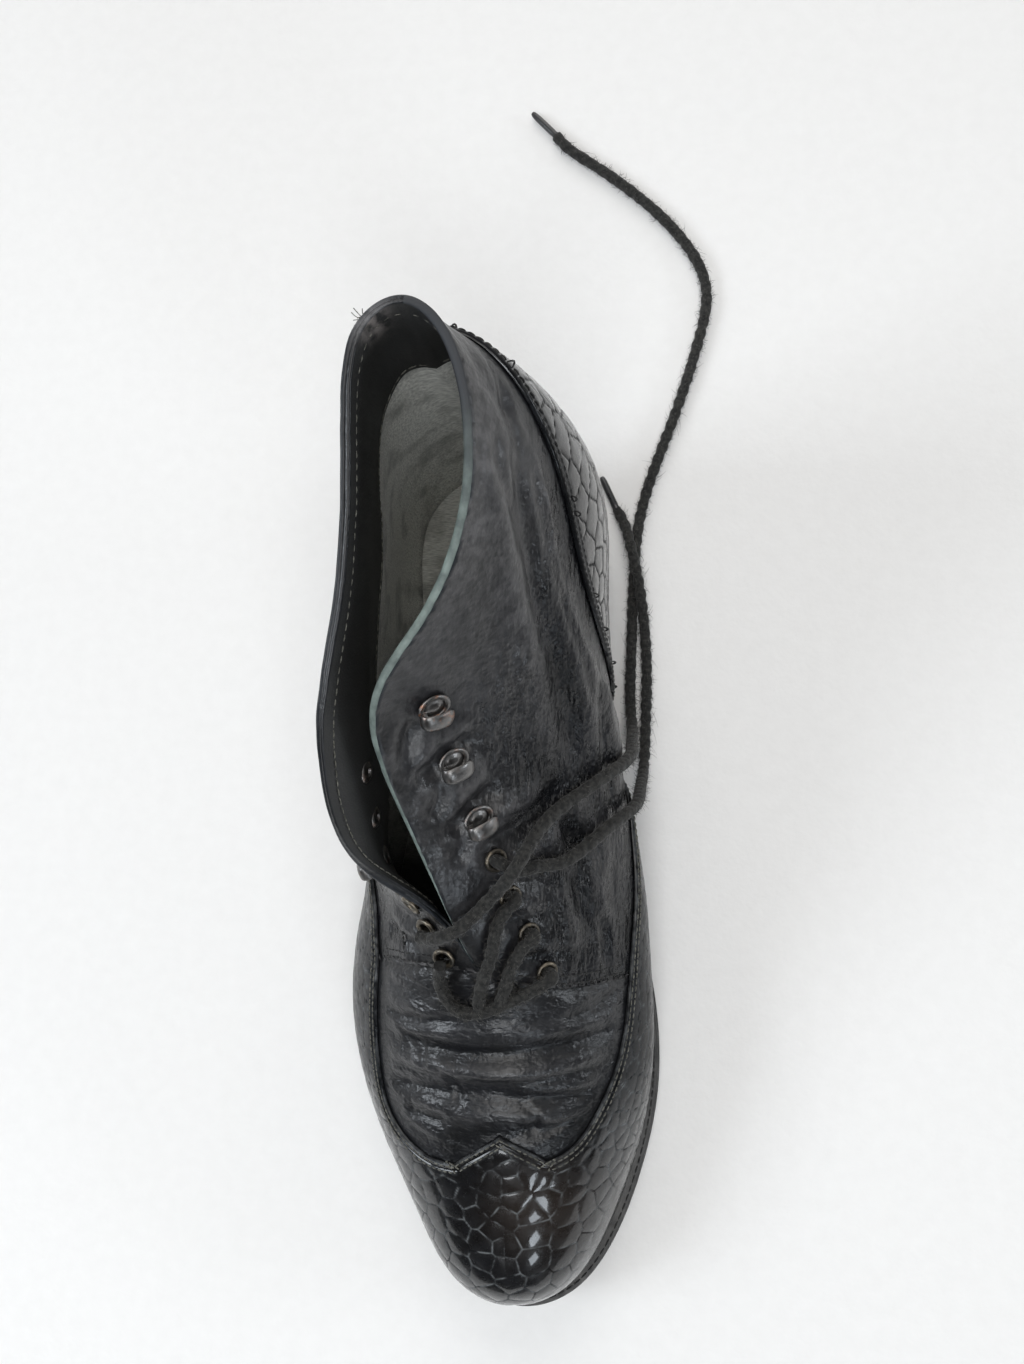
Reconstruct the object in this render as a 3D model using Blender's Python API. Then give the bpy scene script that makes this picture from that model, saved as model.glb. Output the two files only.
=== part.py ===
"""Lace-up ankle boot for the right foot, standing empty with a slack, open collar.

The frame has +Z up, +Y towards the heel and +X towards the inner side of the foot.
A station is the distance from the heel back towards the toe. Tables are in millimetres.
"""
import math

import bmesh
import bpy
import numpy as np

MM = 0.001

# Driving dimensions in millimetres
LENGTH = 292.0
HEEL_Y = LENGTH / 2
HEEL_HEIGHT = 22.0
HEEL_BREAST = 76.0
TOP_LIFT = 6.0
FLAT_START = 178.0
FLAT_END = 212.0
TOE_SPRING = 10.0
OUTSOLE_THICK = 5.0
OUTSOLE_BEVEL = 0.7
WELT_THICK = 2.7
WELT_REACH = 3.2
WELT_REACH_TOE = 5.5
REACH_START = 110.0
REACH_END = 190.0
WELT_WIDTH = 9.0
WELT_EDGE = 0.4
WELT_BEVEL = 0.5
INSOLE_THICK = 3.0
INSOLE_BEVEL = 0.4
INSOLE_EASE = 1.0
SOLE_SECTIONS = 37
WELT_SECTIONS = 43
GAP = 0.3
WALL = 1.8
QUARTER_STEP = 0.9
OVERLAY_GAP = 0.35
OVERLAY_THICK = 1.2
EYELET_HOLE = 2.0
EYELET_SLEEVE = 2.4
EYELET_CUT = 2.75
EYELET_RIM = 3.6
EYELET_HEIGHT = 0.95
HOOK_WIDTH = 6.0
HOOK_HEIGHT = 5.2
HOOK_BASE = 4.0
HOOK_TONGUE = 6.0
HOOK_THICK = 0.8
LACE = 4.0
LACE_STEP = 2.5 * LACE
AGLET_LENGTH = 14.0
AGLET = 2.6
AGLET_DIP = 0.3

# Sole edge: station, x of the outer side, x of the inner side
SOLE_BACK = (2.0, 0.0)
SOLE_TIP = (4.0, LENGTH)
SOLE_BREADTHS = (
    (20, -30.5, 32.5),
    (50, -33.5, 36.0),
    (80, -33.0, 34.5),
    (112, -36.0, 34.0),
    (150, -46.5, 41.5),
    (190, -53.0, 50.5),
    (222, -48.5, 51.3),
    (250, -37.5, 44.8),
    (273, -25.0, 34.5),
    (285, -14.5, 24.2),
)

# Layers of the heel: name, bottom, top, inset from the sole edge at bottom and top, bevel at the bottom
HEEL_LAYERS = (
    ("heel_top_lift", 0.0, TOP_LIFT, 2.4, 2.0, 0.8),
    ("heel_block", TOP_LIFT + GAP, HEEL_HEIGHT - GAP, 2.0, 0.8, 0.3),
)

# Ribs of the upper, each a Bezier from the welt to the collar, the facing or the ridge of the vamp.
# Columns: foot station, then the low handle (out, up), the top point (x, station, z) and the top
# handle (out, drop, forward)
RIBS = {
    "lateral": (
        ("back", 0, 8, 38, -4.4, 4, 164.5, -9, 40, 0),
        ("heel", 26, 8, 34, -18.5, 15, 162, -2, 42, 0),
        ("ankle", 66, 10, 30, -22.0, 52, 152, -2, 42, 0),
        ("collar", 100, 14, 26, -29.8, 90, 140, -10, 36, 0),
        ("corner", 116, 16, 24, -33.4, 110, 131, -20, 32, 0),
        ("facing", 138, 18, 22, -30.0, 136, 112, -15, 26, 0),
        ("flap", 158, 18, 22, -13.0, 152, 91, 6, 18, 0),
        ("throat", 176, 18, 22, -1.0, 172, 75, 26, 3, 0),
        ("ball", 204, 16, 21, 2.0, 200, 64, 30, 1, 0),
        ("vamp", 230, 12, 19, 2.5, 226, 55.5, 26, 1, 0),
        ("cap", 258, 9, 17, 3.0, 245, 50.5, 20, 1, 0),
        ("toe", 278, 8, 16, 3.0, 256, 47.5, 17, 1, 0),
        ("tip", 292, 0, 15, 3.0, 262, 45.5, 16, 1, 0),
    ),
    "medial": (
        ("back", 0, 8, 38, -4.4, 4, 164.5, -9, 40, 0),
        ("heel", 26, 10, 60, 7.0, 17, 162, 20, 40, 0),
        ("ankle", 66, 12, 44, 9.5, 44, 156, 20, 42, 0),
        ("collar", 96, 24, 34, -2.0, 74, 146, 24, 36, 0),
        ("corner", 116, 34, 28, -18.0, 98, 136, 24, 30, 0),
        ("facing", 138, 32, 24, -15.0, 126, 112, 28, 18, 0),
        ("flap", 158, 27, 22, -8.0, 150, 93, 28, 9, 5),
        ("throat", 176, 19, 22, -1.0, 172, 75, 28, 9, 18),
        ("ball", 204, 10, 21, 2.0, 200, 64, 28, 2, 5),
        ("vamp", 230, 4, 19, 2.5, 226, 55.5, 24, 1, 0),
        ("cap", 258, 0, 17, 3.0, 245, 50.5, 18, 1, 0),
        ("toe", 278, 0, 16, 3.0, 256, 47.5, 16, 1, 0),
        ("tip", 292, 0, 15, 3.0, 262, 45.5, 16, 1, 0),
    ),
}
SIDES = ("lateral", "medial")
RIB_NAMES = [row[0] for row in RIBS["lateral"]]
THROAT = RIB_NAMES.index("throat")
LAST_RIB = len(RIB_NAMES) - 1
RIB_STEPS = (5, 4, 4, 3, 4, 4, 4, 4, 4, 5, 5, 4)
RISE_STEPS = 12

# Seams on the upper: rib number, rise from welt (0) to top edge (1). The wing's seam runs from its tail
# to the scallop nearest the toe, and from there back to the peak on the ridge.
LOW_RISE = 0.02
SCALLOP_RIB = 9.2
SCALLOP_RISE = 0.79
WING_SEAM = {
    "lateral": ((3.6, LOW_RISE), (4.2, 0.2), (5.0, 0.34), (6.0, 0.46), (7.0, 0.55), (8.0, 0.51),
                (8.6, 0.49), (9.0, 0.59), (SCALLOP_RIB, SCALLOP_RISE)),
    "medial": ((3.6, LOW_RISE), (4.2, 0.17), (5.0, 0.27), (6.0, 0.34), (7.0, 0.42), (8.0, 0.5),
               (8.6, 0.58), (9.0, 0.67), (SCALLOP_RIB, SCALLOP_RISE)),
}
WING_PEAK = 8.93
COUNTER_SEAM = ((0.0, 0.87), (0.8, 0.83), (1.3, 0.74), (1.7, 0.64), (2.1, 0.53), (2.45, 0.37), (2.75, 0.17),
                (2.9, 0.07))

# Rows of the lacing from the throat up: rib number and distance from the facing edge
EYELET_ROWS = {
    "lateral": ((6.82, 9), (6.37, 10.3), (5.91, 12.3), (5.46, 15)),
    "medial": ((6.80, 24), (6.36, 22), (5.96, 20), (5.54, 20)),
}
HOOK_ROWS = {
    "lateral": ((4.98, 18), (4.52, 19.5), (4.06, 17.5)),
    "medial": ((5.05, 20.5), (4.45, 21.5), (3.90, 17.5)),
}

# Lace: hand-placed points (x, y, z) of its centre line. The bar hangs over the vamp between the lowest
# eyelets, two strands run down into it, and the two free ends lie over the inner quarter and on the floor.
LACE_BAR = (
    (20.5, -27.6, 71.1), (16.4, -30.6, 72.1), (11.0, -33.2, 72.4), (5.0, -36.0, 73.2), (-1.4, -38.2, 73.0),
    (-7.4, -38.0, 72.1), (-11.6, -34.0, 72.4), (-13.0, -28.8, 74.6), (-12.2, -23.7, 78.9),
)
LACE_STRANDS = (
    ((16.0, -15.1, 79.7), (13.6, -17.1, 80.3), (11.0, -20.6, 79.5), (8.5, -25.2, 77.8), (6.9, -30.0, 75.4),
     (4.9, -35.8, 73.2)),
    ((11.6, -3.6, 87.5), (9.1, -6.2, 87.8), (5.6, -12.6, 86.3), (3.9, -19.8, 82.9), (1.9, -24.8, 80.1),
     (-0.3, -30.5, 76.4), (-1.6, -38.0, 73.0)),
)
LACE_ENDS = {
    "long": (
        (-17.6, -14.9, 81.9), (-14.5, -15.2, 84.6), (-10.5, -14.3, 89.4), (-5.6, -12.2, 92.2),
        (-0.6, -8.3, 92.5), (4.5, -3.2, 92.4), (8.2, 0.6, 94.2), (12.6, 6.0, 97.2), (16.4, 12.8, 93.0),
        (23.1, 22.0, 83.5), (30.5, 27.7, 76.0), (38.0, 33.2, 67.4), (43.8, 38.8, 52.0), (44.2, 43.0, 36.0),
        (44.0, 47.0, 18.0), (43.6, 53.0, 6.5), (43.1, 62.0, 2.5), (43.5, 75.0, 2.4), (44.0, 88.3, 2.4),
        (45.0, 108.1, 2.4), (47.3, 128.7, 2.4), (59.0, 163.6, 2.4), (70.6, 198.5, 2.4), (73.3, 217.9, 2.4),
        (64.8, 237.3, 2.4), (47.3, 256.7, 2.4), (28.4, 272.2, 2.4), (20.6, 278.6, 2.4), (16.9, 283.2, 2.3),
    ),
    "short": (
        (8.3, 7.2, 93.9), (10.4, 5.8, 91.1), (13.2, 5.2, 88.5), (17.2, 6.0, 85.1), (22.7, 6.4, 79.9),
        (30.4, 10.8, 72.6), (38.2, 17.4, 63.6), (45.3, 23.2, 50.0), (46.6, 27.5, 34.0), (47.2, 32.0, 17.0),
        (47.9, 38.5, 6.0), (48.4, 48.0, 2.5), (48.9, 60.0, 2.4), (49.2, 76.0, 2.4), (48.7, 86.0, 3.0),
        (47.8, 96.0, 5.4), (46.6, 105.0, 6.8), (45.3, 112.0, 6.9), (43.6, 119.5, 6.0), (42.2, 125.5, 3.8),
        (40.6, 129.6, 2.6), (38.8, 133.0, 2.2),
    ),
}

COLOURS = {
    "leather": ((0.022, 0.022, 0.025), 0.42, 0.0),
    "croc": ((0.012, 0.012, 0.013), 0.25, 0.0),
    "rubber": ((0.012, 0.012, 0.013), 0.6, 0.0),
    "welt": ((0.02, 0.02, 0.02), 0.5, 0.0),
    "cloth": ((0.09, 0.09, 0.085), 0.9, 0.0),
    "metal": ((0.24, 0.23, 0.21), 0.35, 1.0),
    "lace": ((0.03, 0.03, 0.032), 0.95, 0.0),
    "plastic": ((0.02, 0.02, 0.022), 0.3, 0.0),
}


def spline(knots, rows, at):
    """Natural cubic spline through rows at knots."""
    knots = np.asarray(knots, float)
    rows = np.asarray(rows, float)
    steps = np.diff(knots)
    count = len(knots)
    system = np.eye(count)
    bends = np.zeros_like(rows)
    for i in range(1, count - 1):
        system[i, i - 1:i + 2] = steps[i - 1], 2 * (steps[i - 1] + steps[i]), steps[i]
        bends[i] = 6 * ((rows[i + 1] - rows[i]) / steps[i] - (rows[i] - rows[i - 1]) / steps[i - 1])
    bends = np.linalg.solve(system, bends)
    at = np.asarray(at, float)
    k = np.clip(np.searchsorted(knots, at, side="right") - 1, 0, count - 2)
    width = steps[k]
    ahead = at - knots[k]
    if rows.ndim > 1:
        width = width[..., None]
        ahead = ahead[..., None]
    left = width - ahead
    curve = (bends[k] * left**3 + bends[k + 1] * ahead**3) / (6 * width)
    near = (rows[k] / width - bends[k] * width / 6) * left
    far = (rows[k + 1] / width - bends[k + 1] * width / 6) * ahead
    return curve + near + far


def along(points):
    """Distance along a line of points."""
    return np.concatenate([[0.0], np.cumsum(np.linalg.norm(np.diff(points, axis=0), axis=1))])


def ramp(value):
    """Smooth step from 0 to 1."""
    value = np.clip(value, 0.0, 1.0)
    return value * value * (3 - 2 * value)


def unit(vectors):
    return vectors / np.linalg.norm(vectors, axis=-1, keepdims=True)


def sole_edges():
    """Sole edge of each side from heel back to toe tip: share of its length, points, outward normals."""
    rows = np.array(SOLE_BREADTHS, float)
    outer = rows[:, [1, 0]]
    inner = rows[::-1, [2, 0]]
    lap = np.concatenate([[SOLE_BACK], outer, [SOLE_TIP], inner])
    laps = np.concatenate([lap, lap, lap])
    reach = along(laps)
    start, tip, end = reach[[len(lap), len(lap) + len(outer) + 1, 2 * len(lap)]]
    edges = {}
    for side, first, last in (("lateral", start, tip), ("medial", end, tip)):
        share = np.linspace(0.0, 1.0, 401)
        at = first + (last - first) * share
        points = spline(reach, laps, at)
        ahead = spline(reach, laps, at + 0.01) - spline(reach, laps, at - 0.01)
        normals = unit(np.stack([-ahead[:, 1], ahead[:, 0]], axis=1))
        edges[side] = share, points, normals
    return edges


EDGES = sole_edges()


def edge(side, share, inset):
    """Point of the sole edge, moved in by inset, and the outward normal there (x, station)."""
    shares, points, normals = EDGES[side]
    point = np.stack([np.interp(share, shares, points[:, i]) for i in (0, 1)], axis=-1)
    normal = unit(np.stack([np.interp(share, shares, normals[:, i]) for i in (0, 1)], axis=-1))
    return point - normal * np.asarray(inset)[..., None], normal


def underside(station):
    """Height of the outsole's underside: heel seat, waist, flat tread and toe spring."""
    waist = ramp((station - HEEL_BREAST) / (FLAT_START - HEEL_BREAST))
    spring = np.clip((station - FLAT_END) / (LENGTH - FLAT_END), 0.0, None) ** 2
    return HEEL_HEIGHT * (1 - waist) + TOE_SPRING * spring


def welt_foot(station):
    return underside(station) + OUTSOLE_THICK + GAP


def feather(station):
    """Height at which the upper starts, just over the welt."""
    return welt_foot(station) + WELT_THICK + GAP


def welt_reach(station):
    """How far the sole stands out from the upper: least at the heel, more round the forepart."""
    share = ramp((station - REACH_START) / (REACH_END - REACH_START))
    return WELT_REACH + (WELT_REACH_TOE - WELT_REACH) * share


def insole_inset(station):
    return welt_reach(station) + WALL + INSOLE_EASE


def no_inset(station):
    return np.zeros(np.shape(station))


def to_world(x, station, z):
    return np.stack([x, HEEL_Y - station, z], axis=-1)


def last_points(side, rib, rise):
    """Points of the upper's outer surface in world millimetres."""
    table = np.array([row[1:] for row in RIBS[side]], float)
    numbers = np.arange(len(table))
    shares, points, _ = EDGES[side]
    feet = np.interp(table[:, 0], points[:, 1], shares)
    feet[0], feet[-1] = 0.0, 1.0
    share = np.clip(spline(numbers, feet, rib), 0.0, 1.0)
    rim, _ = edge(side, share, no_inset(share))
    foot, out = edge(side, share, welt_reach(rim[..., 1]))
    low = spline(numbers, table[:, 1:3], rib)
    handle = spline(numbers, table[:, 6:9], rib)
    across = np.array([row[4:7] for row in RIBS[SIDES[1 - SIDES.index(side)]]], float)
    shaft_rows = np.concatenate([across[THROAT:0:-1], table[:THROAT + 1, 3:6]])
    shaft = spline(np.arange(-THROAT, THROAT + 1), shaft_rows, rib)
    ridge = spline(numbers[THROAT:], table[THROAT:, 3:6], rib)
    top = np.where(np.asarray(rib)[..., None] <= THROAT, shaft, ridge)

    start = to_world(foot[..., 0], foot[..., 1], feather(foot[..., 1]))
    end = to_world(top[..., 0], top[..., 1], top[..., 2])
    zero = np.zeros(np.shape(rib))
    outward = np.stack([out[..., 0], -out[..., 1], zero], axis=-1)
    up = np.array([0.0, 0.0, 1.0])
    toeward = np.array([0.0, -1.0, 0.0])
    first = start + outward * low[..., :1] + up * low[..., 1:]
    second = end + outward * handle[..., :1] - up * handle[..., 1:2] + toeward * handle[..., 2:]
    v = np.asarray(rise, float)[..., None]
    w = 1 - v
    return w**3 * start + 3 * w**2 * v * first + 3 * w * v**2 * second + v**3 * end


def own_normals(side, rib, rise):
    """Outward normals of one side, read just below the top edge, where the toe's ribs run together."""
    step = 0.004
    rise = np.minimum(rise, 0.99)
    before, after = np.clip(rib - step, 0, LAST_RIB), np.clip(rib + step, 0, LAST_RIB)
    after = np.where((rib <= THROAT) & (after > THROAT), THROAT, after)
    below, above = np.clip(rise - step, 0, 1), np.clip(rise + step, 0, 1)
    forward = last_points(side, after, rise) - last_points(side, before, rise)
    upward = last_points(side, rib, above) - last_points(side, rib, below)
    turn = 1.0 if side == "lateral" else -1.0
    return unit(np.cross(forward, upward) * turn)


def last_sheet(side, rib, rise):
    """Points and outward normals; both sides agree where they join. Level offsets next to the welt."""
    rib, rise = np.broadcast_arrays(np.asarray(rib, float), np.asarray(rise, float))
    points = last_points(side, rib, rise)
    normals = own_normals(side, rib, rise)
    other = SIDES[1 - SIDES.index(side)]
    joined = (rib <= 0) | (rib >= LAST_RIB) | ((rise >= 1) & (rib >= THROAT))
    near_slit = ramp(rib - THROAT + 1.5) * ramp((rise - 0.8) / 0.2) * (rib < THROAT)
    share = np.where(joined, 1.0, near_slit)[..., None]
    normals = unit(normals + share * own_normals(other, rib, rise))
    level = np.where(normals[..., 2] < 0, ramp(rise / 0.12), 1.0)
    normals = unit(normals * np.stack([np.ones_like(level), np.ones_like(level), level], axis=-1))
    return points, normals


def wing_seam(side, count):
    """Seam of the winged toe cap as (rib, rise) rows from its tail to the scallop."""
    rows = np.array(WING_SEAM[side], float)
    reach = along(rows * (1.0, 6.0))
    return spline(reach, rows, np.linspace(0, reach[-1], count))


def counter_rise(rib):
    rows = np.array(COUNTER_SEAM, float)
    rise = spline(rows[:, 0], rows[:, 1], np.clip(rib, 0, rows[-1, 0]))
    return np.where(rib <= rows[-1, 0], np.clip(rise, LOW_RISE, 1.0), 0.0)


def quarter_lift(side, rib, rise):
    """The quarters stand a leather's thickness over the vamp, above the seams of wing and counter."""
    wing = wing_seam(side, 100)
    seam = np.zeros(np.shape(rib))
    for nearby in (-0.25, 0.0, 0.25):
        wing_rise = np.interp(rib + nearby, wing[:, 0], wing[:, 1])
        seam = np.maximum(seam, np.maximum(wing_rise, counter_rise(np.clip(rib + nearby, 0, None))))
    cell = 1.2 / RISE_STEPS
    at_throat = ramp((rib - THROAT + 0.4) / 0.4) * ramp((rise - 0.85) / 0.15)
    return QUARTER_STEP * ramp((rise - seam - cell) / (0.6 * cell)) * (1 - at_throat)


def rise_below_top(side, rib, distance):
    """Rise of the point that lies a distance below the top edge along its rib."""
    rise = np.linspace(1.0, 0.4, 121)
    walk = along(last_points(side, np.full(rise.shape, float(rib)), rise))
    return float(np.interp(distance, walk, rise))


def material(name):
    found = bpy.data.materials.get(name)
    if found:
        return found
    colour, roughness, metallic = COLOURS[name]
    made = bpy.data.materials.new(name)
    made.use_nodes = True
    shader = made.node_tree.nodes["Principled BSDF"]
    shader.inputs["Base Color"].default_value = (*colour, 1.0)
    shader.inputs["Roughness"].default_value = roughness
    shader.inputs["Metallic"].default_value = metallic
    made.diffuse_color = (*colour, 1.0)
    return made


def add_grid(bm, points):
    """Quads over a grid of millimetre points."""
    rows = [[bm.verts.new(p * MM) for p in row] for row in points]
    for near, far in zip(rows, rows[1:]):
        for corner in zip(near, near[1:], far[1:], far):
            bm.faces.new(corner)


def add_solid(bm, front, back, edges=("start", "end", "first", "last")):
    """Two matching grids, joined along the named edges."""
    add_grid(bm, front)
    add_grid(bm, back)
    rims = {"start": (front[0], back[0]), "end": (front[-1], back[-1]),
            "first": (front[:, 0], back[:, 0]), "last": (front[:, -1], back[:, -1])}
    for name in edges:
        add_grid(bm, np.stack(rims[name]))


def make_object(name, bm, finish):
    """Weld the grids, face the surface outwards and make a named object."""
    bmesh.ops.remove_doubles(bm, verts=bm.verts, dist=0.000002)
    bmesh.ops.dissolve_degenerate(bm, edges=bm.edges, dist=0.000001)
    bmesh.ops.recalc_face_normals(bm, faces=bm.faces)
    mesh = bpy.data.meshes.new(name)
    bm.to_mesh(mesh)
    bm.free()
    made = bpy.data.objects.new(name, mesh)
    bpy.context.scene.collection.objects.link(made)
    mesh.materials.append(material(finish))
    return made


def sole_plate(name, finish, inset, thick, floor, bevel):
    """Plate under the whole foot: sections from heel to toe, each a closed loop with broken edges."""
    share = (1 - np.cos(np.linspace(0, math.pi, SOLE_SECTIONS))) / 2
    profile = ((bevel, 0.0), (0.0, bevel), (0.0, thick - bevel), (bevel, thick))
    across = np.linspace(0, 1, 3)
    insets = [inset(edge(side, share, no_inset(share))[0][:, 1]) for side in SIDES]
    loops = []
    for level, (reach, height) in enumerate(profile):
        left, right = [edge(side, share, own + reach)[0] for side, own in zip(SIDES, insets)]
        columns = across if level in (0, len(profile) - 1) else (0.0, 1.0)
        row = [left + (right - left) * c for c in columns]
        loops.append([to_world(p[:, 0], p[:, 1], floor(p[:, 1]) + height) for p in row])
    bottom, low, high, top = loops
    section = bottom + [low[1], high[1]] + top[::-1] + [high[0], low[0], bottom[0]]
    bm = bmesh.new()
    add_grid(bm, np.stack(section, axis=1))
    return make_object(name, bm, finish)


def welt_ring():
    """Strip between upper and outsole, all the way round."""
    share = (1 - np.cos(np.linspace(0, math.pi, WELT_SECTIONS))) / 2
    broken = WELT_EDGE + WELT_BEVEL
    profile = ((broken, 0.0), (WELT_EDGE, WELT_BEVEL), (broken, WELT_THICK), (WELT_WIDTH, WELT_THICK),
               (WELT_WIDTH, 0.0), (broken, 0.0))
    bm = bmesh.new()
    for side in SIDES:
        rows = []
        for reach, height in profile:
            p, _ = edge(side, share, np.full(share.shape, reach))
            rows.append(to_world(p[:, 0], p[:, 1], welt_foot(p[:, 1]) + height))
        add_grid(bm, np.stack(rows, axis=1))
    return make_object("welt", bm, "welt")


def heel_layer(name, low, high, low_inset, high_inset, bevel):
    """Layer of the heel with a straight breast."""
    bm = bmesh.new()
    levels = ((low, low_inset + bevel), (low + bevel, low_inset), (high, high_inset))
    rings = []
    for z, inset in levels:
        loop = []
        for side in SIDES:
            shares, points, _ = EDGES[side]
            last = np.interp(HEEL_BREAST - inset, points[:, 1], shares)
            share = last * (1 - np.cos(np.linspace(0, math.pi / 2, 17)))
            p, _ = edge(side, share, np.full(share.shape, inset))
            p = to_world(p[:, 0], p[:, 1], np.full(share.shape, z))
            loop.append(p[::-1] if side == "lateral" else p[1:])
        rings.append([bm.verts.new(p * MM) for p in np.concatenate(loop)])
    for near, far in zip(rings, rings[1:]):
        for i, a in enumerate(near):
            j = (i + 1) % len(near)
            bm.faces.new((a, near[j], far[j], far[i]))
    bm.faces.new(rings[0])
    bm.faces.new(rings[-1])
    return make_object(name, bm, "rubber")


def rib_numbers():
    """Rib numbers of the upper's grid, closer together where it turns."""
    parts = [k + np.arange(steps) / steps for k, steps in enumerate(RIB_STEPS)]
    return np.concatenate(parts + [[float(LAST_RIB)]])


def upper_shell():
    """One hollow upper: outer face with the quarters' step, inner face, collar, slit and open bottom."""
    ribs = rib_numbers()
    rises = np.linspace(0, 1, RISE_STEPS + 1)
    split = int(np.argmin(abs(ribs - THROAT)))
    bm = bmesh.new()
    for side in SIDES:
        rib, rise = np.meshgrid(ribs, rises, indexing="ij")
        points, normals = last_sheet(side, rib, rise)
        lifted = points + normals * quarter_lift(side, rib, rise)[..., None]
        inner = points - normals * WALL
        quarter = lifted[:split + 1]
        vamp = points[split:]
        add_solid(bm, quarter, inner[:split + 1], edges=("first", "last"))
        add_solid(bm, vamp, inner[split:], edges=("first",))
        add_grid(bm, np.stack([quarter[-1], vamp[0]]))
    made = make_object("upper", bm, "leather")
    made.modifiers.new("flat_faces", "TRIANGULATE")
    return made


def overlay(bm, side, where, edges):
    """Piece of leather laid over the upper on a grid of (rib, rise) places."""
    points, normals = last_sheet(side, where[..., 0], where[..., 1])
    front = points + normals * (OVERLAY_GAP + OVERLAY_THICK)
    back = points + normals * OVERLAY_GAP
    add_solid(bm, front, back, edges=edges)


def toe_cap():
    """Winged cap over the toe, with a strip back along each side to the waist."""
    bm = bmesh.new()
    ribs = rib_numbers()
    ribs = ribs[ribs > SCALLOP_RIB - 0.01]
    low_steps = 9
    low = np.linspace(LOW_RISE, SCALLOP_RISE, low_steps + 1)
    high = np.linspace(SCALLOP_RISE, 1.0, RISE_STEPS - low_steps + 1)
    for side in SIDES:
        rib, rise = np.meshgrid(ribs, np.concatenate([low, high[1:]]), indexing="ij")
        overlay(bm, side, np.stack([rib, rise], axis=-1), ("first",))

        seam = wing_seam(side, 27)
        share = np.linspace(0, 1, low_steps + 1)
        rise = LOW_RISE + (seam[:, 1:] - LOW_RISE) * share
        rib = np.repeat(seam[:, :1], len(share), axis=1)
        overlay(bm, side, np.stack([rib, rise], axis=-1), ("first", "last"))

        share = np.linspace(0, 1, len(high))
        bend = np.linspace(0, 1, 5)[:, None]
        foot = SCALLOP_RISE + (1 - SCALLOP_RISE) * (1 - np.cos(bend * math.pi / 2))
        rib = np.repeat(SCALLOP_RIB + (WING_PEAK - SCALLOP_RIB) * bend**1.5, len(share), axis=1)
        overlay(bm, side, np.stack([rib, foot + (1 - foot) * share], axis=-1), ("first",))
    return make_object("toe_cap", bm, "croc")


def heel_counter():
    """Embossed piece around the heel, highest at the back seam."""
    fine = np.linspace(0, COUNTER_SEAM[-1][0], 200)
    reach = along(np.stack([fine, 4 * counter_rise(fine)], axis=1))
    ribs = np.interp(np.linspace(0, reach[-1], 24), reach, fine)
    share = np.linspace(0, 1, 9)
    bm = bmesh.new()
    for side in SIDES:
        rib = np.repeat(ribs[:, None], len(share), axis=1)
        rise = LOW_RISE + (counter_rise(ribs)[:, None] - LOW_RISE) * share
        overlay(bm, side, np.stack([rib, rise], axis=-1), ("first", "last", "end"))
    return make_object("heel_counter", bm, "croc")


def quarter_point(side, rib, inset):
    """Point on the quarter at a distance from its facing edge, and the outward normal there."""
    rise = np.array(rise_below_top(side, rib, inset))
    rib = np.array(float(rib))
    points, normals = last_sheet(side, rib, rise)
    return points + normals * quarter_lift(side, rib, rise), normals


def lacing_frame(side, rib, inset):
    """Seat of an eyelet or hook: centre on the quarter, then axes to the edge, along it and out."""
    centre, out = quarter_point(side, rib, inset)
    edgeward = quarter_point(side, rib, inset - 1)[0] - centre
    edgeward = unit(edgeward - out * np.dot(edgeward, out))
    around = [(rib + d, inset + e) for d in (-0.2, 0.0, 0.2) for e in (-EYELET_RIM, 0.0, EYELET_RIM)]
    proud = max(np.dot(quarter_point(side, *where)[0] - centre, out) for where in around)
    return centre + out * proud, edgeward, np.cross(out, edgeward), out


def place(frame, local):
    """Local (edgeward, along, out) millimetres to world millimetres."""
    centre, edgeward, beside, out = frame
    return centre + local[0] * edgeward + local[1] * beside + local[2] * out


def turned(name, frame, profile, finish, sides=8):
    """Ring turned about the seat's outward axis from a closed (radius, height) profile."""
    angles = np.linspace(0, 2 * math.pi, sides + 1)
    rows = []
    for angle in angles:
        loop = profile + profile[:1]
        rows.append([place(frame, (r * math.cos(angle), r * math.sin(angle), h)) for r, h in loop])
    bm = bmesh.new()
    add_grid(bm, np.array(rows))
    return make_object(name, bm, finish)


def eyelet(name, frame):
    """Sleeve through the leather with a rolled rim on it."""
    deep = -(WALL + QUARTER_STEP)
    crown = (EYELET_HOLE + EYELET_RIM) / 2
    profile = [(EYELET_HOLE, deep), (EYELET_SLEEVE, deep), (EYELET_SLEEVE, GAP), (EYELET_RIM, GAP),
               (EYELET_RIM - GAP, 0.75 * EYELET_HEIGHT), (crown, EYELET_HEIGHT),
               (EYELET_HOLE, 0.6 * EYELET_HEIGHT)]
    return turned(name, frame, profile, "metal")


def hole_cutter(upper, frame):
    """Hole for an eyelet's sleeve."""
    depth = 4 * (WALL + QUARTER_STEP)
    profile = [(0.0, -depth), (EYELET_CUT, -depth), (EYELET_CUT, depth), (0.0, depth)]
    cutter = turned(upper.name + "_hole", frame, profile, "leather")
    cutter.hide_render = True
    cutter.display_type = "WIRE"
    cut = upper.modifiers.new("hole", "BOOLEAN")
    cut.object = cutter
    cut.operation = "DIFFERENCE"
    cut.solver = "EXACT"
    return cutter


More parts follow.
